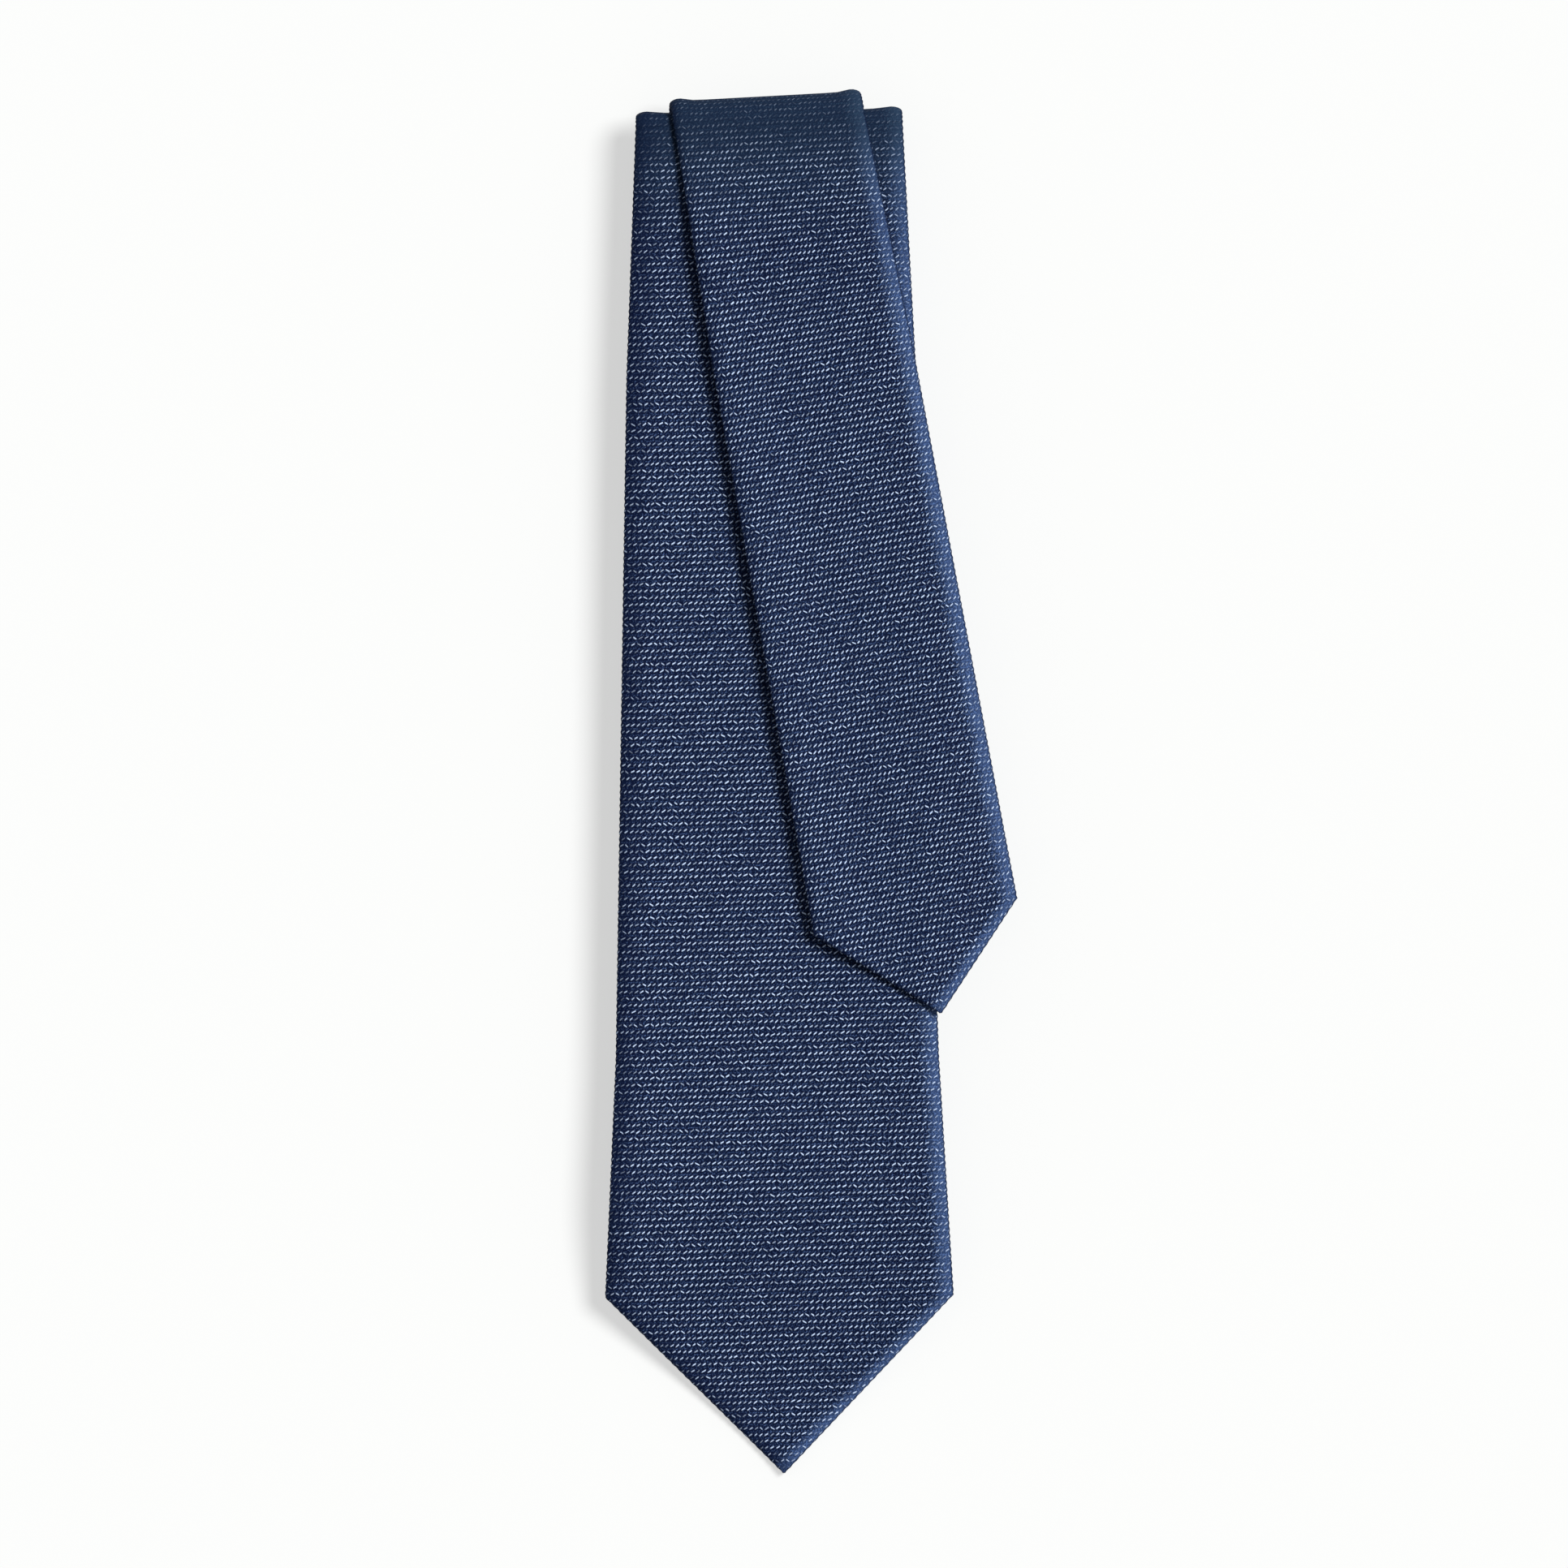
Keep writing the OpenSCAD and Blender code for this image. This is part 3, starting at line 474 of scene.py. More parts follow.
def thread(name, paths, radius, sides=6):
    """Sewing thread along one or more paths, as closed round tubes."""
    points, faces, uvs, base = [], [], [], 0
    ring = np.linspace(0, 2 * math.pi, sides, endpoint=False)
    for path in paths:
        path = np.asarray(path, float)
        run = np.gradient(path, axis=0)
        run = run / np.linalg.norm(run, axis=1)[:, None]
        side = np.cross(run, UP[None, :] + 0.01)
        side = side / np.linalg.norm(side, axis=1)[:, None]
        lift = np.cross(side, run)
        loop = path[:, None, :] + radius * (
            np.cos(ring)[None, :, None] * side[:, None, :] + np.sin(ring)[None, :, None] * lift[:, None, :]
        )
        count = len(path)
        index = base + np.arange(count * sides).reshape(count, sides)
        index = np.concatenate([index, index[:, :1]], 1)
        faces.append(grid_faces(index))
        first, last = index[0, :-1], index[-1, :-1]
        half = sides // 2
        for cap in (first, last):
            for i in range(half - 1):
                faces.append(np.array([[cap[i], cap[i + 1], cap[sides - 2 - i], cap[sides - 1 - i]]]))
        length = np.concatenate([[0], np.cumsum(np.linalg.norm(np.diff(path, axis=0), axis=1))])
        turn = np.broadcast_to(ring[None, :] * radius, (count, sides))
        uvs.append(np.stack([turn, np.broadcast_to(length[:, None], (count, sides))], -1).reshape(-1, 2))
        points.append(loop.reshape(-1, 3))
        base += count * sides
    return make_object(name, np.concatenate(points), np.concatenate(faces), np.concatenate(uvs), sharp=80)


# ---- materials
def maths(operation, reflected=False):
    """A method of Signal that adds one Math node. The reflected one puts the signal last."""
    def method(self, *others):
        values = (*others, self) if reflected else (self, *others)
        return self.node("ShaderNodeMath", {"operation": operation}, dict(enumerate(values)))
    return method


class Signal:
    """An output socket of a material's nodes, so that shader maths can be written as expressions."""

    def __init__(self, tree, socket=None):
        self.tree = tree
        self.socket = socket

    def node(self, kind, settings=None, inputs=None, output=0):
        """Adds a node: its settings first, then the values or links of its sockets."""
        node = self.tree.nodes.new(kind)
        for key, value in (settings or {}).items():
            setattr(node, key, value)
        for key, value in (inputs or {}).items():
            if isinstance(value, Signal):
                self.tree.links.new(value.socket, node.inputs[key])
            else:
                node.inputs[key].default_value = value
        return Signal(self.tree, node.outputs[output])

    __add__ = maths("ADD")
    __radd__ = maths("ADD", True)
    __sub__ = maths("SUBTRACT")
    __rsub__ = maths("SUBTRACT", True)
    __mul__ = maths("MULTIPLY")
    __rmul__ = maths("MULTIPLY", True)
    __truediv__ = maths("DIVIDE")
    over = maths("GREATER_THAN")
    floor = maths("FLOOR")
    fract = maths("FRACT")
    size = maths("ABSOLUTE")
    sine = maths("SINE")

    def rises(self, start, end):
        """0 below start, 1 above end, and smooth between them. It falls instead where start is above end."""
        flip = start > end
        return self.node(
            "ShaderNodeMapRange", {"interpolation_type": "SMOOTHSTEP"},
            {"Value": self, "From Min": min(start, end), "From Max": max(start, end),
             "To Min": float(flip), "To Max": float(not flip)},
        )

    def mixed(self, first, second):
        """A colour between first and second, by this factor."""
        def four(c):
            return c if isinstance(c, Signal) else (*c, 1)
        return self.node(
            "ShaderNodeMix", {"data_type": "RGBA"},
            {0: self, 6: four(first), 7: four(second)}, output=2,
        )

    def vector(self, x, y, z=0.0):
        return self.node("ShaderNodeCombineXYZ", None, {0: x, 1: y, 2: z})

    def noise(self, vector, scale, detail=2.0, roughness=0.5):
        return self.node(
            "ShaderNodeTexNoise", None,
            {"Vector": vector, "Scale": scale, "Detail": detail, "Roughness": roughness},
        )

    def random(self, vector):
        return self.node("ShaderNodeTexWhiteNoise", {"noise_dimensions": "3D"}, {"Vector": vector})

    def mapped(self, uv_map):
        """Both coordinates of one of the mesh's maps, in millimetres."""
        place_on_cloth = self.node("ShaderNodeUVMap", {"uv_map": uv_map})
        split = self.node("ShaderNodeSeparateXYZ", None, {0: place_on_cloth})
        return split / MM, Signal(self.tree, split.socket.node.outputs[1]) / MM


def new_material(name, sheen=0.0, specular=0.3):
    """A material's tools, its cloth coordinates, and the function that finishes it.
    The shader's even values are set on its own sockets."""
    material = bpy.data.materials.new(name)
    material.use_nodes = True
    tree = material.node_tree
    shader = next(n for n in tree.nodes if n.type == "BSDF_PRINCIPLED")
    shader.inputs["Sheen Weight"].default_value = sheen
    shader.inputs["Sheen Roughness"].default_value = 0.4
    shader.inputs["Specular IOR Level"].default_value = specular
    tools = Signal(tree)
    across, along = tools.mapped("weave")

    def finish(colour, roughness, height=None, depth=0.0001):
        tree.links.new(colour.socket, shader.inputs["Base Color"])
        tree.links.new(roughness.socket, shader.inputs["Roughness"])
        if height is not None:
            bump = tools.node("ShaderNodeBump", None, {"Strength": 1.0, "Distance": depth, "Height": height})
            tree.links.new(bump.socket, shader.inputs["Normal"])
        return material

    return tools, across, along, finish


DEEP_NAVY = (0.002, 0.0058, 0.028)
SOFT_NAVY = (0.085, 0.152, 0.35)
PALE_BLUE = (0.61, 0.75, 1.0)
FOLD_TEAL = (0.026, 0.056, 0.1)


def silk(name, dash_pitch, flip_share, fold_at, fold_half, left_reach=0.0):
    """Navy silk with cross rows of pale slanted floats. flip_share is the share that slants the other way.
    Painted shade dims the rows over the rolled fold around fold_at, for fold_half to each side of it, and
    beside the pressed edges: for left_reach at the left one. Where left_reach is given, a painted highlight
    lies along the right edge, with a thin dark line of painted shade at its very rim."""
    tools, u, v, finish = new_material(name, specular=0.04)
    spot = tools.vector(u, v)
    sway = tools.noise(spot, 0.12, 2.0) - 0.5
    line = v / ROW_PITCH + sway * 0.12
    row = (line + 0.5).floor()
    row_chance = tools.random(tools.vector(row, 3.7, 0.5))
    step = u / dash_pitch + row_chance + (tools.noise(spot, 0.35, 2.0) - 0.5) * 0.9
    cell = step.floor()
    reach = step.fract() - 0.5
    chance = tools.random(tools.vector(cell, row, 0.5))
    other = tools.random(tools.vector(cell, row, 7.5))
    third = tools.random(tools.vector(cell, row, 12.5))
    slant = 1 - 2 * other.over(1 - flip_share)
    off = line - row + (third - 0.5) * 0.1
    bend = reach * slant * (0.42 + 0.2 * third)
    body = (off - bend).size().rises(0.162, 0.06) * reach.size().rises(0.42, 0.18)
    patch = tools.noise(spot, 0.06, 3.0)
    strength = (0.36 + 0.64 * chance) * (0.74 + 0.5 * patch)

    # painted light and shade of the pressed edges and the rolled fold
    from_fold = (v - fold_at).size()
    # painted shade: the rows dim toward the rolled fold
    out_of_fold_shade = from_fold.rises(fold_half - 2.0, fold_half + 13.0)
    if left_reach:
        left, right = tools.mapped("sides")
        wobble = tools.noise(spot, 0.3, 2.0) * 1.5
        # painted shade along the left pressed edge, over left_reach
        shade = (left + wobble).rises(0.3, left_reach) * 0.55 + 0.45
        # painted shade: a thin dark line at the very right edge
        shade = shade * (0.12 + 0.88 * right.rises(0.05, 0.6))
        # painted highlight: a paler blue band along the right edge, where the floats dim
        right_edge_highlight = (right + wobble).rises(6.5, 1.8)
    else:
        shade = 1.0
        right_edge_highlight = 0.0
    # painted shade that lifts slowly over 60 mm below the fold
    out_of_slow_fold_shade = from_fold.rises(fold_half, fold_half + 60.0)
    # painted light and shade, scaling both the floats and the ground
    light = (0.24 + 0.5 * out_of_fold_shade + 0.26 * out_of_slow_fold_shade) * shade
    dash = body * strength * light * (1.0 - 0.3 * right_edge_highlight)

    # short blue floats and flecks between the rows
    short = u / dash_pitch * 1.9 + row_chance * 5
    between = line.fract() - 0.5
    short_chance = tools.random(tools.vector(short.floor(), line.floor(), 3.5))
    short_reach = short.fract() - 0.5
    fleck = (between - short_reach * 0.25 + (short_chance - 0.5) * 0.2).size().rises(0.12, 0.03)
    fleck = fleck * short_reach.size().rises(0.5, 0.3) * short_chance
    grain = tools.noise(spot, 2.7, 1.5, 0.6).rises(0.45, 0.68)
    # the painted highlight of the right edge also pales the ground
    blue = (fleck * 0.6 + grain * 0.55 + right_edge_highlight * 0.5).rises(0.0, 1.3)
    ground = (blue * light).mixed(DEEP_NAVY, SOFT_NAVY)
    # a teal tone mixed into the ground near the fold, dimmed where painted shade lies
    fold_teal_share = 0.75 - 0.75 * from_fold.rises(fold_half - 4.0, fold_half + 30.0)
    ground = (fold_teal_share * shade * (0.35 + 0.9 * blue)).mixed(ground, FOLD_TEAL)
    colour = dash.rises(0.0, 0.85).mixed(ground, PALE_BLUE)
    roughness = 0.72 - 0.2 * dash
    height = dash * 0.8 + blue * 0.3
    return finish(colour, roughness, height, 0.00016)


def wool(name):
    """Pale brushed interlining with a loose plain weave."""
    tools, u, v, finish = new_material(name, sheen=0.25, specular=0.15)
    spot = tools.vector(u, v)
    warp = (u * (2 * math.pi / 1.1)).sine()
    weft = (v * (2 * math.pi / 0.9)).sine()
    fuzz = tools.noise(spot, 1.4, 4.0, 0.7)
    height = warp * weft * 0.3 + fuzz
    tone = (height * 0.6 + 0.1).rises(0.0, 1.0)
    colour = tone.mixed((0.46, 0.41, 0.33), (0.86, 0.82, 0.73))
    return finish(colour, 0.85 + 0.1 * fuzz, height, 0.00025)


def satin(name, dark, light, stripe=0.55):
    """Fine satin: steep close twill lines, a slow painted sheen across them and a little slub."""
    tools, u, v, finish = new_material(name, sheen=0.1, specular=0.4)
    spot = tools.vector(u, v)
    line = ((u * 0.35 + v) * (2 * math.pi / stripe)).sine()
    slub = tools.noise(tools.vector(u * 0.15, v * 2.0), 1.0, 3.0)
    # painted sheen: slow patches of paler tone in the colour
    painted_sheen = tools.noise(spot, 0.05, 2.0)
    tone = (line * 0.18 + slub * 0.5 + painted_sheen * 0.6 - 0.2).rises(0.0, 1.0)
    colour = tone.mixed(dark, light)
    return finish(colour, 0.38 + 0.12 * slub, line * 0.5 + slub * 0.5, 0.00006)


def twisted_thread(name):
    """Two-ply sewing thread: slanting plies and a little fluff."""
    tools, u, v, finish = new_material(name, sheen=0.2, specular=0.3)
    ply = ((v * 2.2 + u * 3.0) * (2 * math.pi / 0.9)).sine()
    fluff = tools.noise(tools.vector(u, v), 3.0, 3.0)
    tone = (ply * 0.35 + fluff).rises(0.1, 1.1)
    colour = tone.mixed((0.008, 0.014, 0.04), (0.06, 0.09, 0.2))
    return finish(colour, 0.6 + 0.2 * fluff, ply, 0.00004)


def woven_label(name):
    """Plain damask label: fine ribs with a paler woven line inside its border."""
    tools, u, v, finish = new_material(name, sheen=0.1, specular=0.3)
    spot = tools.vector(u, v)
    warp = (u * (2 * math.pi / 0.5)).sine()
    weft = (v * (2 * math.pi / 0.42)).sine()
    line_x, line_y = LABEL_LEN / 2 - 4.0, 6.2
    rim_x = (u.size() - line_x).size().rises(0.45, 0.25) * v.size().rises(line_y + 0.2, line_y)
    rim_y = (v.size() - line_y).size().rises(0.45, 0.25) * u.size().rises(line_x + 0.2, line_x)
    line = (rim_x + rim_y).rises(0.0, 1.0)
    tone = (warp * weft * 0.25 + tools.noise(spot, 0.5, 3.0) * 0.8).rises(0.0, 1.0)
    ground = tone.mixed((0.018, 0.028, 0.075), (0.05, 0.075, 0.17))
    colour = (line * (0.75 + 0.25 * weft)).mixed(ground, (0.36, 0.42, 0.55))
    return finish(colour, 0.5 - 0.1 * line, warp * weft * 0.5 + line, 0.00008)


# ---- back furnishings
KEEPER_AT = 190.0
KEEPER_BAND = 14.0
KEEPER_LEN = 58.0
KEEPER_T = 0.6
LABEL_AT = 226.0
LABEL_LEN = 46.0
LABEL_BAND = 20.0
LABEL_T = 0.25
TAG_AT = 152.0
TAG_W = 14.0
TAG_LEN = 26.0
TACK_L = 6.0
TACK_W = 1.0

ribbed_blade = silk("ribbed_silk_blade", BLADE_DASH_PITCH, 0.12, BLADE_LEG + 4, 5.0, 9.0)
ribbed_tail = silk("ribbed_silk_tail", TAIL_DASH_PITCH, 0.06, TAIL_LEG + 8, 9.0, 3.0)
ribbed_band = silk("ribbed_silk_band", BLADE_DASH_PITCH, 0.16, -50.0, 1.0)
interlining = wool("wool_interlining")
tipping = satin("tipping_satin", (0.008, 0.014, 0.045), (0.045, 0.07, 0.16))
tape = satin("tape_satin", (0.66, 0.66, 0.64), (0.9, 0.9, 0.88), 0.4)
sewing = twisted_thread("sewing_thread")
label_cloth = woven_label("label_damask")


def dress(obj, material, nodes, body=None, bend=None):
    """Gives a piece its material, hides the model's nodes that it stands for, and hangs it on its body. A
    piece given a bend only has its place fixed, and follows no body.
    """
    obj.data.materials.clear()
    obj.data.materials.append(material)
    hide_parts(*nodes)
    if bend is None:
        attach(obj, body)
    else:
        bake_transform(obj)


def cloth_piece(made, material, node, body, bend=None):
    obj, flat, area = made
    dress(obj, material, node.split(), body, bend)


def shell(made, material, node, body=None, bend=None):
    cloth_piece(made, material, node, body, bend)


def wool_ply(made, node, body=None, bend=None):
    cloth_piece(made, interlining, node, body, bend)


TIPPING_N0 = -HALF + CLOTH_T + PLY_GAP
TIPPING_N1 = TIPPING_N0 + TIPPING_T
LINING_N0 = TIPPING_N1 + PLY_GAP
LINING_N1 = LINING_N0 + LINING_T - 0.06
LINING_INSET = 2.4
STEP = ROW_PITCH / ROWS_PER_RIB


def with_ending(names, ending):
    return " ".join(n + ending for n in names.split())


def tube_and_wool(
    name, material, node, rows, body=None, bend=None, wool_step=4, slope=0.0, counts=(5, 9, 14),
    shift=None,
):
    """A length of the silk shell, and the wool inside it."""
    tube = cloth_tube(name + "_cloth", rows, counts, shift=shift, slope=slope)
    shell(tube, material, with_ending(node, "_shell"), body, bend)
    wool_strip = flat_strip(
        name + "_wool", rows, LINING_INSET, LINING_N0, LINING_N1, step=wool_step, shift=shift
    )
    wool_ply(wool_strip, with_ending(node, "_lining"), body, bend)


TIPPING_START = 4.0
TIPPING_INSET = 3.0
TIPPING_BULGE = 0.03


def tipping_panel(name, rows, open_h, columns, body, shift):
    """The satin that lines the open back of a strip's end."""
    end = chosen(rows, (rows.s >= TIPPING_START) & (rows.s <= open_h + TIPPING_LAP))
    panel = flat_strip(name + "_tipping_satin", end, TIPPING_INSET, TIPPING_N0, TIPPING_N1, columns, 3,
                       shift=shift, bulge=TIPPING_BULGE)
    cloth_piece(panel, tipping, name + "_tipping", body)


def blade_mid(v):
    """Height of the wide blade's middle ply at distance v from the top fold."""
    return BLADE_Z * (1 - smooth((v - DROOP_START) / DROOP_RUN)) + HALF


def steady(z):
    return lambda v: z + HALF + 0 * v


tail_at = (0, TAIL_RISE)
blade_across = flat_direction(BLADE_LEAN)
blade_down = -flat_direction(BLADE_LEAN + 90)
SAG = 0.006
SAG_MARGIN = 4.0
TAIL_EDGE = 22.0
CURL = 2.7
CURL_RUN = 15.0
CURL_START = 30.0


def tail_hang(points):
    """Points of the tail, which sags where it hangs past the wide blade and curls up at its left edge."""
    points = uneven(points)
    local = points - place(0, 0)
    x = local @ blade_across
    v = local @ blade_down
    support = wide_shape(np.clip(BLADE_LEG - v, 0, None).ravel())[1].reshape(v.shape)
    beyond = np.clip(x - support + SAG_MARGIN, 0, None)
    own = points - place(*tail_at)
    from_left = own @ flat_direction(TAIL_LEAN) + TAIL_EDGE
    down = -(own @ flat_direction(TAIL_LEAN + 90))
    points[..., 2] += CURL * smooth(down / CURL_START) * (1 - smooth(from_left / CURL_RUN))
    points[..., 2] -= SAG * beyond ** 2
    return points


# ---- wide blade
blade_s = row_places(0.25, BLADE_LEG, STEP, (BLADE_TIP_H, BLADE_OPEN_H))
blade_rows = leg_rows(
    (0, 0), BLADE_LEAN, -1, blade_s[::-1], BLADE_LEG - blade_s[::-1], blade_mid, 1, wide_shape,
    (BLADE_TILT, BLADE_LEAN), (50, 50), BLADE_LEG,
)
tube_and_wool("blade", ribbed_blade, "blade", blade_rows, "wide_blade",
              slope=BLADE_ROW_SLOPE, counts=(6, 9, 14), shift=uneven)
tipping_panel("blade", blade_rows, BLADE_OPEN_H, 13, "wide_blade", uneven)

# ---- tail
tail_s = row_places(0.25, TAIL_LEG, STEP, (TAIL_TIP_H, TAIL_OPEN_H))
tail_rows = leg_rows(
    tail_at, TAIL_LEAN, -1, tail_s[::-1], TAIL_LEG - tail_s[::-1], steady(TAIL_Z), 1, tail_shape,
    (TAIL_TILT, TAIL_LEAN), (60, 50), TAIL_LEG,
)
tail_down = -flat_direction(TAIL_TILT + 90)
lift_from = place(*tail_at, TAIL_Z)
lift_bend = ("wide_blade", "tail", metres(lift_from), metres(lift_from + tail_down * LIFT_ZONE))
tube_and_wool("tail", ribbed_tail, "tail tail_lift", tail_rows, bend=lift_bend,
              shift=tail_hang)
tipping_panel("tail", tail_rows, TAIL_OPEN_H, 11, "tail", tail_hang)


# ---- rolled folds and the legs after them
def fold_rows(at0, at1, z, tilt, radius, way, s0, shape, leans, ear):
    """Rows of a rolled fold, from the leg above it round to the leg below it. The top folds have way 1
    and their face outside. leans are the angles of the two legs."""
    lead = radius + HALF if way > 0 else radius
    s = row_places(s0, s0 + math.pi * lead, STEP if way > 0 else STEP / 1.5)
    stretch = [1 / math.cos(math.radians(lean - tilt)) for lean in leans]
    return roll_rows(at0, at1, z, tilt, radius, way, (s - s0) / lead, s, shape, stretch, ear)


def bending(bodies, high, low):
    """The two bodies of a piece that bends round a fold, and where it starts and ends to bend."""
    return (*bodies, metres(place(0, 0, high)), metres(place(0, 0, low)))


def joined(first, second):
    """One run of rows: a rolled fold and the leg after it."""
    out = SimpleNamespace(outward=first.outward)
    for key, value in vars(second).items():
        more = value + (first.distance[-1] if key == "distance" else 0)
        setattr(out, key, np.concatenate([getattr(first, key)[:-1], more]))
    out.ear = np.concatenate([first.ear[:-1], np.zeros_like(second.s)])
    return out


tail_middle_at = (TAIL_TOP_DX, tail_top_y(TAIL_TOP_DX))
wide_bottom_at = (WIDE_BOTTOM_X, bottom_y(WIDE_BOTTOM_X))
tail_bottom_at = (TAIL_BOTTOM_X, bottom_y(TAIL_BOTTOM_X))
wide_middle_v = -bottom_y(WIDE_BOTTOM_X) / math.cos(math.radians(WIDE_MIDDLE_TURN))
tail_middle_v = (tail_middle_at[1] - bottom_y(TAIL_BOTTOM_X)) / math.cos(math.radians(TAIL_MIDDLE_TURN))
WIDE_S1 = BLADE_LEG + math.pi * (WIDE_TOP_R + HALF)
TAIL_S1 = TAIL_LEG + math.pi * (TAIL_TOP_R + HALF)
WIDE_S2 = WIDE_S1 + wide_middle_v
TAIL_S2 = TAIL_S1 + tail_middle_v
WIDE_S3 = WIDE_S2 + math.pi * WIDE_BOTTOM_R
TAIL_S3 = TAIL_S2 + math.pi * TAIL_BOTTOM_R


def middle_rows(at, turn, z, s0, length, shape, tilts):
    s = row_places(s0, s0 + length, STEP)
    return leg_rows(at, turn, -1, s, s - s0, steady(z), -1, shape, tilts, (50, 50), length)


wide_middle_rows = middle_rows(
    (0, 0), WIDE_MIDDLE_TURN, WIDE_MIDDLE_Z, WIDE_S1, wide_middle_v, wide_shape, (BLADE_TILT, BOTTOM_TILT)
)
tail_middle_rows = middle_rows(
    tail_middle_at, TAIL_MIDDLE_TURN, TAIL_MIDDLE_Z, TAIL_S1, tail_middle_v, tail_shape,
    (TAIL_TILT, BOTTOM_TILT),
)
wide_top_rows = fold_rows(
    (0, 0), (0, 0), TOP_Z, BLADE_TILT, WIDE_TOP_R, 1, BLADE_LEG, wide_shape,
    (BLADE_LEAN, WIDE_MIDDLE_TURN), 0.5,
)
tail_top_rows = fold_rows(
    tail_at, tail_middle_at, TOP_Z, TAIL_TILT, TAIL_TOP_R, 1, TAIL_LEG, tail_shape,
    (TAIL_LEAN, TAIL_MIDDLE_TURN), 0.6,
)
wide_bottom_rows = fold_rows(
    wide_bottom_at, wide_bottom_at, BOTTOM_Z, BOTTOM_TILT, WIDE_BOTTOM_R, -1, WIDE_S2, wide_shape,
    (WIDE_MIDDLE_TURN, WIDE_BASE_TURN), 0.3,
)
tail_bottom_rows = fold_rows(
    tail_bottom_at, tail_bottom_at, BOTTOM_Z, BOTTOM_TILT, TAIL_BOTTOM_R, -1, TAIL_S2, tail_shape,
    (TAIL_MIDDLE_TURN, TAIL_BASE_TURN), 0.3,
)
top_bodies = ("wide_blade", "middle_fold")
bottom_bodies = ("middle_fold", "base_fold")
tube_and_wool("wide_middle", ribbed_blade, "wide_top_fold wide_middle",
              joined(wide_top_rows, wide_middle_rows),
              bend=bending(top_bodies, BLADE_Z, WIDE_MIDDLE_Z + LAYER + 3 * RIB_RISE),
              slope=BLADE_ROW_SLOPE)
tube_and_wool("tail_top_roll", ribbed_tail, "tail_top_fold", tail_top_rows,
              bend=bending(top_bodies, TAIL_Z + LAYER, TAIL_MIDDLE_Z), wool_step=1)
tube_and_wool("tail_middle", ribbed_tail, "tail_middle", tail_middle_rows, "middle_fold")
tube_and_wool("wide_bottom_roll", ribbed_blade, "wide_bottom_fold", wide_bottom_rows,
              bend=bending(bottom_bodies, WIDE_MIDDLE_Z + LAYER, WIDE_BASE_Z), wool_step=1)


# ---- base legs and the neck piece
wide_base_v = (TURN_Y - bottom_y(WIDE_BOTTOM_X)) / math.cos(math.radians(WIDE_BASE_TURN))
tail_base_v = (TURN_Y - bottom_y(TAIL_BOTTOM_X)) / math.cos(math.radians(TAIL_BASE_TURN))
wide_leg = (wide_bottom_at, WIDE_BASE_TURN, WIDE_BASE_Z, WIDE_S3, wide_shape)
tail_leg = (tail_bottom_at, TAIL_BASE_TURN, TAIL_BASE_Z, TAIL_S3, tail_shape)


def base_leg(leg, v0, v1, tilts):
    """Rows of a base leg from v0 to v1, measured from its fold."""
    at, turn, z, s0, shape = leg
    s = row_places(s0 + v0, s0 + v1, STEP)
    rows = leg_rows(
        at, turn, 1, s, s - s0 - v0, steady(z), 1, shape, tilts, (v1 - v0, v1 - v0), v1 - v0, skewed=True,
    )
    rows.centre = rows.centre + (v0 * flat_direction(turn + 90))[None, :]
    return rows


wide_seam_tilt = WIDE_BASE_TURN + SEAM_ANGLE
tail_seam_tilt = TAIL_BASE_TURN + SEAM_ANGLE
wide_low = base_leg(wide_leg, 0, WIDE_SEAM_AT, (BOTTOM_TILT, wide_seam_tilt))
neck_right = base_leg(wide_leg, WIDE_SEAM_AT + SEAM_W, wide_base_v, (wide_seam_tilt, 0))
tail_low = base_leg(tail_leg, 0, TAIL_SEAM_AT, (BOTTOM_TILT, tail_seam_tilt))
neck_left = base_leg(tail_leg, TAIL_SEAM_AT + SEAM_W, tail_base_v, (tail_seam_tilt, 0))
tail_low = joined(tail_bottom_rows, tail_low)
BASE_COUNTS = (5, 8, 12)
tail_bend = bending(bottom_bodies, TAIL_MIDDLE_Z, TAIL_BASE_Z + LAYER + PLY_GAP)
for name, rows, material, node, body, bend in (
    ("wide_base_cloth", wide_low, ribbed_blade, "wide_base_shell", "base_fold", None),
    ("neck_cloth_right", neck_right, ribbed_blade, "neck_shell_right", "base_fold", None),
    ("tail_base_cloth", tail_low, ribbed_tail, "tail_bottom_fold_shell tail_base_shell", None, tail_bend),
    ("neck_cloth_left", neck_left, ribbed_blade, "neck_shell_left", "base_fold", None),
):
    shell(cloth_tube(name, rows, BASE_COUNTS, rib=0.0), material, node, body, bend)


def base_rows(leg, length):
    """Rows of a whole base leg, for its wool and its stitches."""
    at, turn, z, s0, shape = leg
    s = row_places(s0, s0 + length, STEP)
    return leg_rows(at, turn, 1, s, s - s0, steady(z), 1, shape, (BOTTOM_TILT, 0), (40, 40), length)


wide_base_rows = base_rows(wide_leg, wide_base_v)
tail_base_rows = base_rows(tail_leg, tail_base_v)
wool_ply(flat_strip("wide_base_wool", wide_base_rows, LINING_INSET, LINING_N0, LINING_N1),
         "wide_base_lining", "base_fold")
tail_wool_rows = joined(tail_bottom_rows, tail_base_rows)
wool_ply(flat_strip("tail_base_wool", tail_wool_rows, LINING_INSET, LINING_N0, LINING_N1),
         "tail_bottom_fold_lining tail_base_lining", bend=tail_bend)

# ---- the turn at the neck
LEG_X = (NECK_W + LEG_GAP) / 2
TURN_R = (TAIL_BASE_Z - WIDE_BASE_Z) / 2
FOLD_INSET = (TURN_R + HALF) * math.sqrt(2)
FOLD_AT = NECK_W + LEG_GAP / 2 - FOLD_INSET
TURN_LEN = FOLD_AT + math.pi * TURN_R / math.sqrt(2)
CROSS_RUN = 3.0


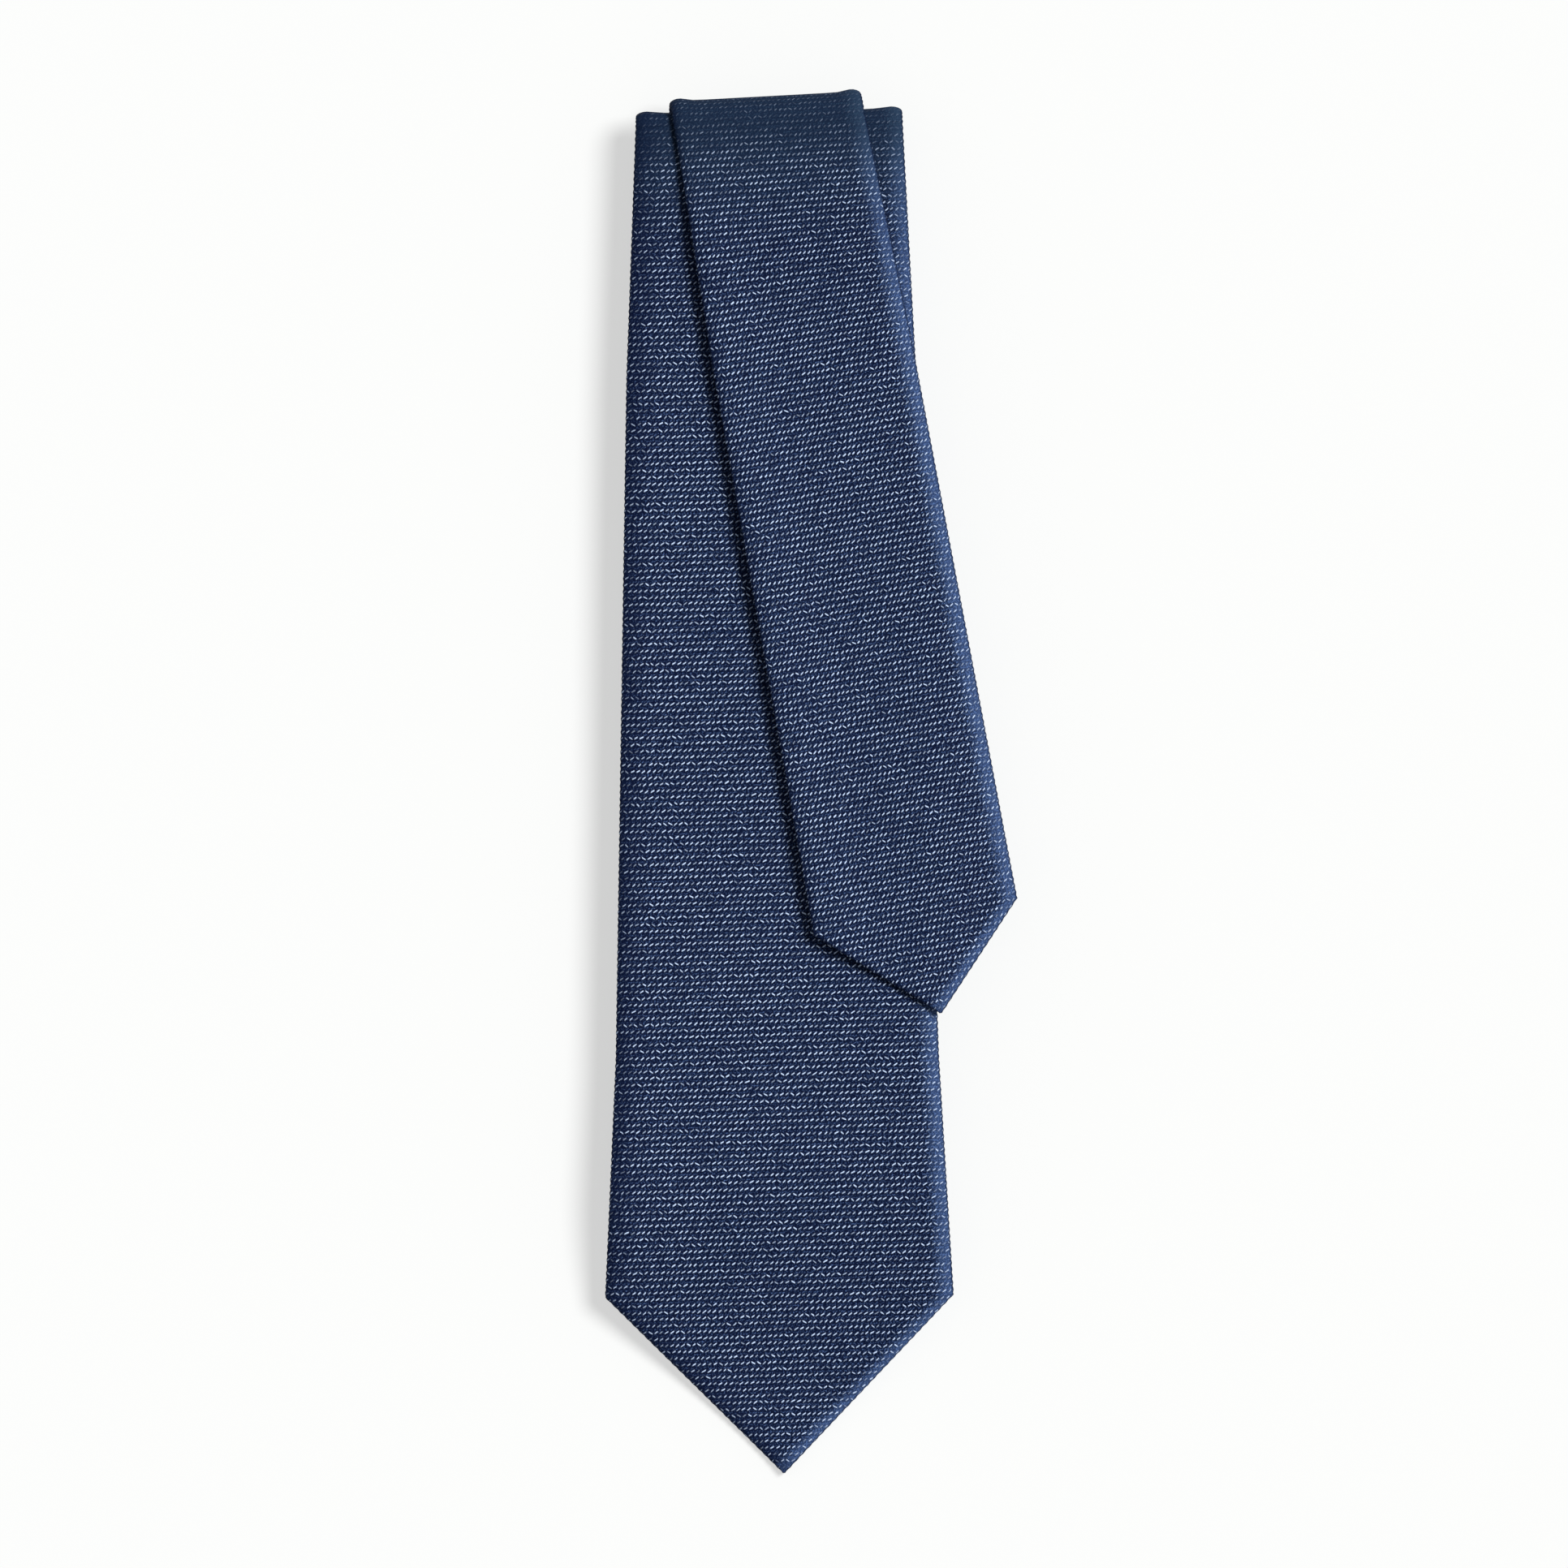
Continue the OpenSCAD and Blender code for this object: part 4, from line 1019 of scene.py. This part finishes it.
def folded_side(x, y, n, way):
    """Folds a flat strip over a slanted line: way 1 is the right leg, which folds up and over."""
    px = way * LEG_X + x
    beyond = (way * px + y - FOLD_AT) / math.sqrt(2)
    slant = np.array([way, 1.0]) / math.sqrt(2)
    angle = np.clip(beyond / TURN_R, 0, math.pi)
    past = np.clip(beyond - math.pi * TURN_R, 0, None)
    inside = np.clip(beyond, None, 0)
    radius = TURN_R - way * n
    shift = inside + radius * np.sin(angle) - past
    foot_x = px - beyond * slant[0]
    foot_y = y - beyond * slant[1]
    leg_mid = (WIDE_BASE_Z if way > 0 else TAIL_BASE_Z) + HALF
    z = leg_mid + way * (TURN_R - radius * np.cos(angle))
    fx = foot_x + slant[0] * shift
    fy = foot_y + slant[1] * shift
    near = smooth(beyond / (math.pi * TURN_R)) * (1 - smooth(np.abs(fx) / CROSS_RUN))
    return fx, fy, z - way * TURN_R * near


def turn_place(rows, a, n):
    """Places a flat strip that goes up the right leg, across the bridge and down the left leg."""
    y = rows.distance[:, None] + 0 * a
    first = y <= TURN_LEN
    mirrored = 2 * TURN_LEN - y
    rx, ry, rz = folded_side(a, np.minimum(y, TURN_LEN), n, 1)
    lx, ly, lz = folded_side(-a, np.minimum(mirrored, TURN_LEN), n, -1)
    points = np.where(first[..., None], np.stack([rx, ry, rz], -1), np.stack([lx, ly, lz], -1))
    return place(NECK_X, TURN_Y)[None, None, :] + points


TURN_ROWS = 141
TURN_WOOL = LINING_T / 2 - 0.1
turn_d = np.linspace(0, 2 * TURN_LEN, TURN_ROWS)
turn_half = np.full_like(turn_d, NECK_W / 2)
turn_rows = SimpleNamespace(
    left=-turn_half, right=turn_half, edge=np.full_like(turn_d, NECK_EDGE),
    gap_left=np.full_like(turn_d, -SLIT_HALF), gap_right=np.full_like(turn_d, SLIT_HALF),
    s=WIDE_S3 + wide_base_v + turn_d, skew=0 * turn_d, distance=turn_d,
)
shell(cloth_tube("neck_turn_cloth", turn_rows, (22, 8, 44), rib=0.0, place_by=turn_place),
      ribbed_blade, "neck_shell_turn", "base_fold")
turn_wool = flat_strip("neck_turn_wool", turn_rows, LINING_INSET, -TURN_WOOL, TURN_WOOL, 41, 1, turn_place)
wool_ply(turn_wool, "neck_lining_turn", "base_fold")


# ---- stitching
def on_rows(rows, s, a, n):
    """Points at distance s along a leg, a across it and n above its middle."""
    order = np.argsort(rows.s)
    pick = [np.array([np.interp(s, rows.s[order], k[order, i]) for i in range(3)]).T
            for k in (rows.centre, rows.across, rows.normal)]
    return pick[0] + pick[1] * np.asarray(a)[:, None] + pick[2] * np.asarray(n)[:, None]


SLIP_PITCH = 7.0
SLIP_REACH = 0.42
SLIP_DEPTH = 0.16
SLIP_WAVE = 0.1


def sewn_piece(name, node, paths, radius, body):
    dress(thread(name, paths, radius), sewing, [node], body)


def slip_stitch(name, rows, s0, s1, body, shift=None):
    """The long thread that zigzags across the slit, held in the two folded edges."""
    s = np.arange(s0, s1, SLIP_PITCH / 8)
    phase = 2 * math.pi * s / SLIP_PITCH
    path = on_rows(rows, s, SLIP_REACH * np.sin(phase), -HALF + SLIP_DEPTH + SLIP_WAVE * np.cos(2 * phase))
    if shift is not None:
        path = shift(path)
    sewn_piece(name + "_slip_thread", name + "_slip_stitch", [path], THREAD_R, body)


slip_stitch("blade", blade_rows, BLADE_OPEN_H + 3, BLADE_LEG - 1, "wide_blade", uneven)
slip_stitch("tail", tail_rows, TAIL_OPEN_H + 3, TAIL_LEG - LIFT_ZONE - 0.5, "tail", tail_hang)
slip_stitch("wide_middle", wide_middle_rows, WIDE_S1, WIDE_S2, "middle_fold")
slip_stitch("tail_middle", tail_middle_rows, TAIL_S1, TAIL_S2, "middle_fold")
slip_stitch("wide_base", wide_base_rows, WIDE_S3, WIDE_S3 + wide_base_v, "base_fold")
slip_stitch("tail_base", tail_base_rows, TAIL_S3, TAIL_S3 + tail_base_v, "base_fold")


TACK_BARS = 5
TACK_BAR_GAP = 0.18
TACK_WRAPS = 20
TACK_THREAD_R = 0.11


def bar_tack(name, rows, s, body, shift):
    """A worked bar across the top of an open back: a few long threads with close wraps round them."""
    paths = []
    x = np.linspace(-TACK_L / 2, TACK_L / 2, 15)
    bow = 0.12 * np.cos(np.linspace(-1.4, 1.4, 15))
    for i in range(TACK_BARS):
        bar_s = s + (i - (TACK_BARS - 1) / 2) * TACK_BAR_GAP
        paths.append(on_rows(rows, np.full(15, bar_s), x, -HALF - bow + 0.1))
    angle = np.linspace(-0.15, math.pi + 0.15, 9)
    for i in range(TACK_WRAPS):
        x = (i - (TACK_WRAPS - 1) / 2) * TACK_L / (TACK_WRAPS + 1)
        along = s + TACK_W / 2 * np.cos(angle)
        out = -HALF + 0.1 - 0.3 * np.sin(angle)
        paths.append(on_rows(rows, along, x + 0.05 * np.cos(angle), out))
    sewn_piece(name + "_tack", name + "_bar_tack", [shift(p) for p in paths], TACK_THREAD_R, body)


bar_tack("blade", blade_rows, BLADE_OPEN_H + 1.5 * TACK_W, "wide_blade", uneven)
bar_tack("tail", tail_rows, TAIL_OPEN_H + 1.5 * TACK_W, "tail", tail_hang)
SEAM_STITCH = 2.0
SEAM_MARGIN = 1.2
SEAM_THREAD_R = 0.1


def seam_stitches(name, rows, start, seam_at):
    """Machine stitches along a seam on the bias, drawn into the crease of the face."""
    paths = []
    half = (rows.right - rows.left)[0] / 2 - SEAM_MARGIN
    count = int(2 * half / SEAM_STITCH)
    for i in range(count):
        x = np.linspace(0.12, 0.88, 5) * SEAM_STITCH + (i - count / 2) * SEAM_STITCH
        n = HALF - 0.05 - 0.12 * np.abs(np.linspace(-1, 1, 5)) ** 2
        paths.append(on_rows(rows, start + seam_at + SEAM_W / 2 + x, x, n))
    sewn_piece(name + "_seam_thread", name + "_bias_seam", paths, SEAM_THREAD_R, "base_fold")


seam_stitches("wide", wide_base_rows, WIDE_S3, WIDE_SEAM_AT)
seam_stitches("tail", tail_base_rows, TAIL_S3, TAIL_SEAM_AT)


# ---- keeper, label and care tag
def blade_spot(x, v, z):
    """Points in the wide blade's own frame: across, down from the fold, and height."""
    return (place(0, 0)[None, :] + np.ravel(x)[:, None] * blade_across + np.ravel(v)[:, None] * blade_down
            + np.ravel(z)[:, None] * UP).reshape(*np.shape(x), 3)


def patch(name, node, at, x, v, low, high, uv, flat, material, slot):
    """A thin rectangular piece of cloth on the back of the blade, from a grid of places and heights."""
    v_down = v + BLADE_LEG - at
    obj = closed_sheet(name, blade_spot(x, v_down, low), blade_spot(x, v_down, high), np.stack(uv, -1))
    dress(obj, material, [node], "wide_blade")


def grid(x0, length, across, nx, nv):
    """Places on a patch: x from x0 over its length, and v to both sides of its middle."""
    return np.meshgrid(
        np.linspace(x0, x0 + length, nx), np.linspace(-across / 2, across / 2, nv), indexing="ij"
    )


KEEPER_Z = level("keeper_loop")
SEWN_Z = BLADE_Z - KEEPER_T - 0.1
x, v = grid(-KEEPER_LEN / 2, KEEPER_LEN, KEEPER_BAND, 121, 21)
rise = smooth((np.abs(x) - KEEPER_LEN / 2 + 9) / 5) * (SEWN_Z - KEEPER_Z)
rim = smooth((np.abs(v) / (KEEPER_BAND / 2) - 0.84) / 0.16) * 0.18
low = KEEPER_Z + rise + rim
patch("keeper_band", "keeper_loop", KEEPER_AT, x, v, low, low + KEEPER_T - 2 * rim, (v, x),
      (KEEPER_BAND, KEEPER_LEN), ribbed_band, "ribbed_silk")

t = np.linspace(-1, 1, 9)
for way, side in ((-1, "left"), (1, "right")):
    paths = []
    for row in (-1, 0, 1):
        for leg in (-1, 1):
            stitch_x = way * (KEEPER_LEN / 2 - KEEPER_BAND / 6) + 1.5 * t
            stitch_v = BLADE_LEG - KEEPER_AT + row * KEEPER_BAND / 3 + leg * 0.6 * t
            paths.append(blade_spot(stitch_x, stitch_v, SEWN_Z - 0.12 * np.cos(t * 1.5)))
    sewn_piece(f"keeper_cross_stitch_{side}", f"keeper_tack_{side}", paths, 0.13, "wide_blade")

x, v = grid(-LABEL_LEN / 2, LABEL_LEN, LABEL_BAND, 93, 41)
puff = 0.16 * np.cos(np.clip(x / LABEL_LEN * math.pi, -1.57, 1.57)) * (0.7 + 0.3 * np.sin(v / 3.1))
turned_under = smooth((np.abs(x) - LABEL_LEN / 2 + 2.4) / 0.4) * 0.12
low = BLADE_Z - LABEL_T - 0.02 - puff - turned_under
patch("plain_label", "label_blank", LABEL_AT, x, v, low, low + LABEL_T, (x, v),
      (LABEL_BAND, LABEL_LEN), label_cloth, "woven_label")
t = np.linspace(-1, 1, 7)
paths = []
for way in (-1, 1):
    for i in range(9):
        stitch_x = way * (LABEL_LEN / 2 - 1.0) + 0 * t
        stitch_v = BLADE_LEG - LABEL_AT + (i - 4) * LABEL_BAND / 9.6 + 0.72 * t
        paths.append(blade_spot(stitch_x, stitch_v, BLADE_Z - LABEL_T - 0.2 - 0.08 * np.cos(t * 1.5)))
sewn_piece("label_thread", "label_stitches", paths, 0.12, "wide_blade")

x, v = grid(2 * SLIT_HALF, TAG_W, TAG_LEN, 33, 61)
free = smooth((x - 2) / TAG_W) * (0.35 + 0.25 * np.sin(v / 6.0 + 1.0))
low = BLADE_Z - LABEL_T - 0.05 - free
patch("plain_care_tag", "care_tag_blank", TAG_AT, x, v, low, low + LABEL_T, (v, x),
      (TAG_W, TAG_LEN), tape, "satin_tape")

# ---- floor, light and camera
FLOOR_REACH = 3.0
FLOOR_GAP = 0.0002
FLOOR_GLOW = 0.57
floor_z = cad_low.z - FLOOR_GAP
floor_mesh = bpy.data.meshes.new("floor")
corners = [(FLOOR_REACH * x, FLOOR_REACH * y, floor_z) for x, y in ((-1, -1), (1, -1), (1, 1), (-1, 1))]
floor_mesh.from_pydata(corners, [], [(0, 1, 2, 3)])
floor = bpy.data.objects.new("floor", floor_mesh)
bpy.context.scene.collection.objects.link(floor)
pale = bpy.data.materials.new("pale_floor")
pale.use_nodes = True
pale_shader = next(n for n in pale.node_tree.nodes if n.type == "BSDF_PRINCIPLED")
pale_shader.inputs["Base Color"].default_value = (0.395, 0.4, 0.395, 1)
pale_shader.inputs["Emission Color"].default_value = (1.0, 1.0, 0.99, 1)
pale_shader.inputs["Emission Strength"].default_value = FLOOR_GLOW
pale_shader.inputs["Roughness"].default_value = 0.9
pale_shader.inputs["Specular IOR Level"].default_value = 0.0
floor_mesh.materials.append(pale)
floor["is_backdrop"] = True

scene = bpy.context.scene
scene.view_settings.view_transform = "Standard"
world = bpy.data.worlds.new("studio")
scene.world = world
world.use_nodes = True
sky = next(n for n in world.node_tree.nodes if n.type == "BACKGROUND")
sky.inputs["Color"].default_value = (0.97, 0.98, 1.0, 1)
SKY_LIGHT = 0.25
sky.inputs["Strength"].default_value = SKY_LIGHT

KEY_ELEVATION = 58.0
KEY_BEARING = 28.0
KEY_SOFTNESS = 24.0
FLOOR_LIGHT = 1.045
key = bpy.data.lights.new("key_light", "SUN")
key.angle = math.radians(KEY_SOFTNESS)
key.energy = (FLOOR_LIGHT - SKY_LIGHT) * math.pi / math.sin(math.radians(KEY_ELEVATION))
key_object = bpy.data.objects.new("key_light", key)
key_object.rotation_euler = (0, math.radians(90 - KEY_ELEVATION), math.radians(KEY_BEARING))
key_object.location = (0.6, 0.3, 0.6)
scene.collection.objects.link(key_object)

VIEW_W = 0.35944
VIEW_CENTRE = (-0.00623, -0.00037)
LENS = 1000.0
SENSOR_W = 36.0
CAMERA_H = (BLADE_Z + LAYER) * MM + VIEW_W * LENS / SENSOR_W
camera_data = bpy.data.cameras.new("camera")
camera_data.lens = LENS
camera_data.sensor_width = SENSOR_W
camera_data.clip_end = 2 * CAMERA_H
camera = bpy.data.objects.new("camera", camera_data)
camera.location = (VIEW_CENTRE[0], VIEW_CENTRE[1], CAMERA_H)
scene.collection.objects.link(camera)
scene.camera = camera

low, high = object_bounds()
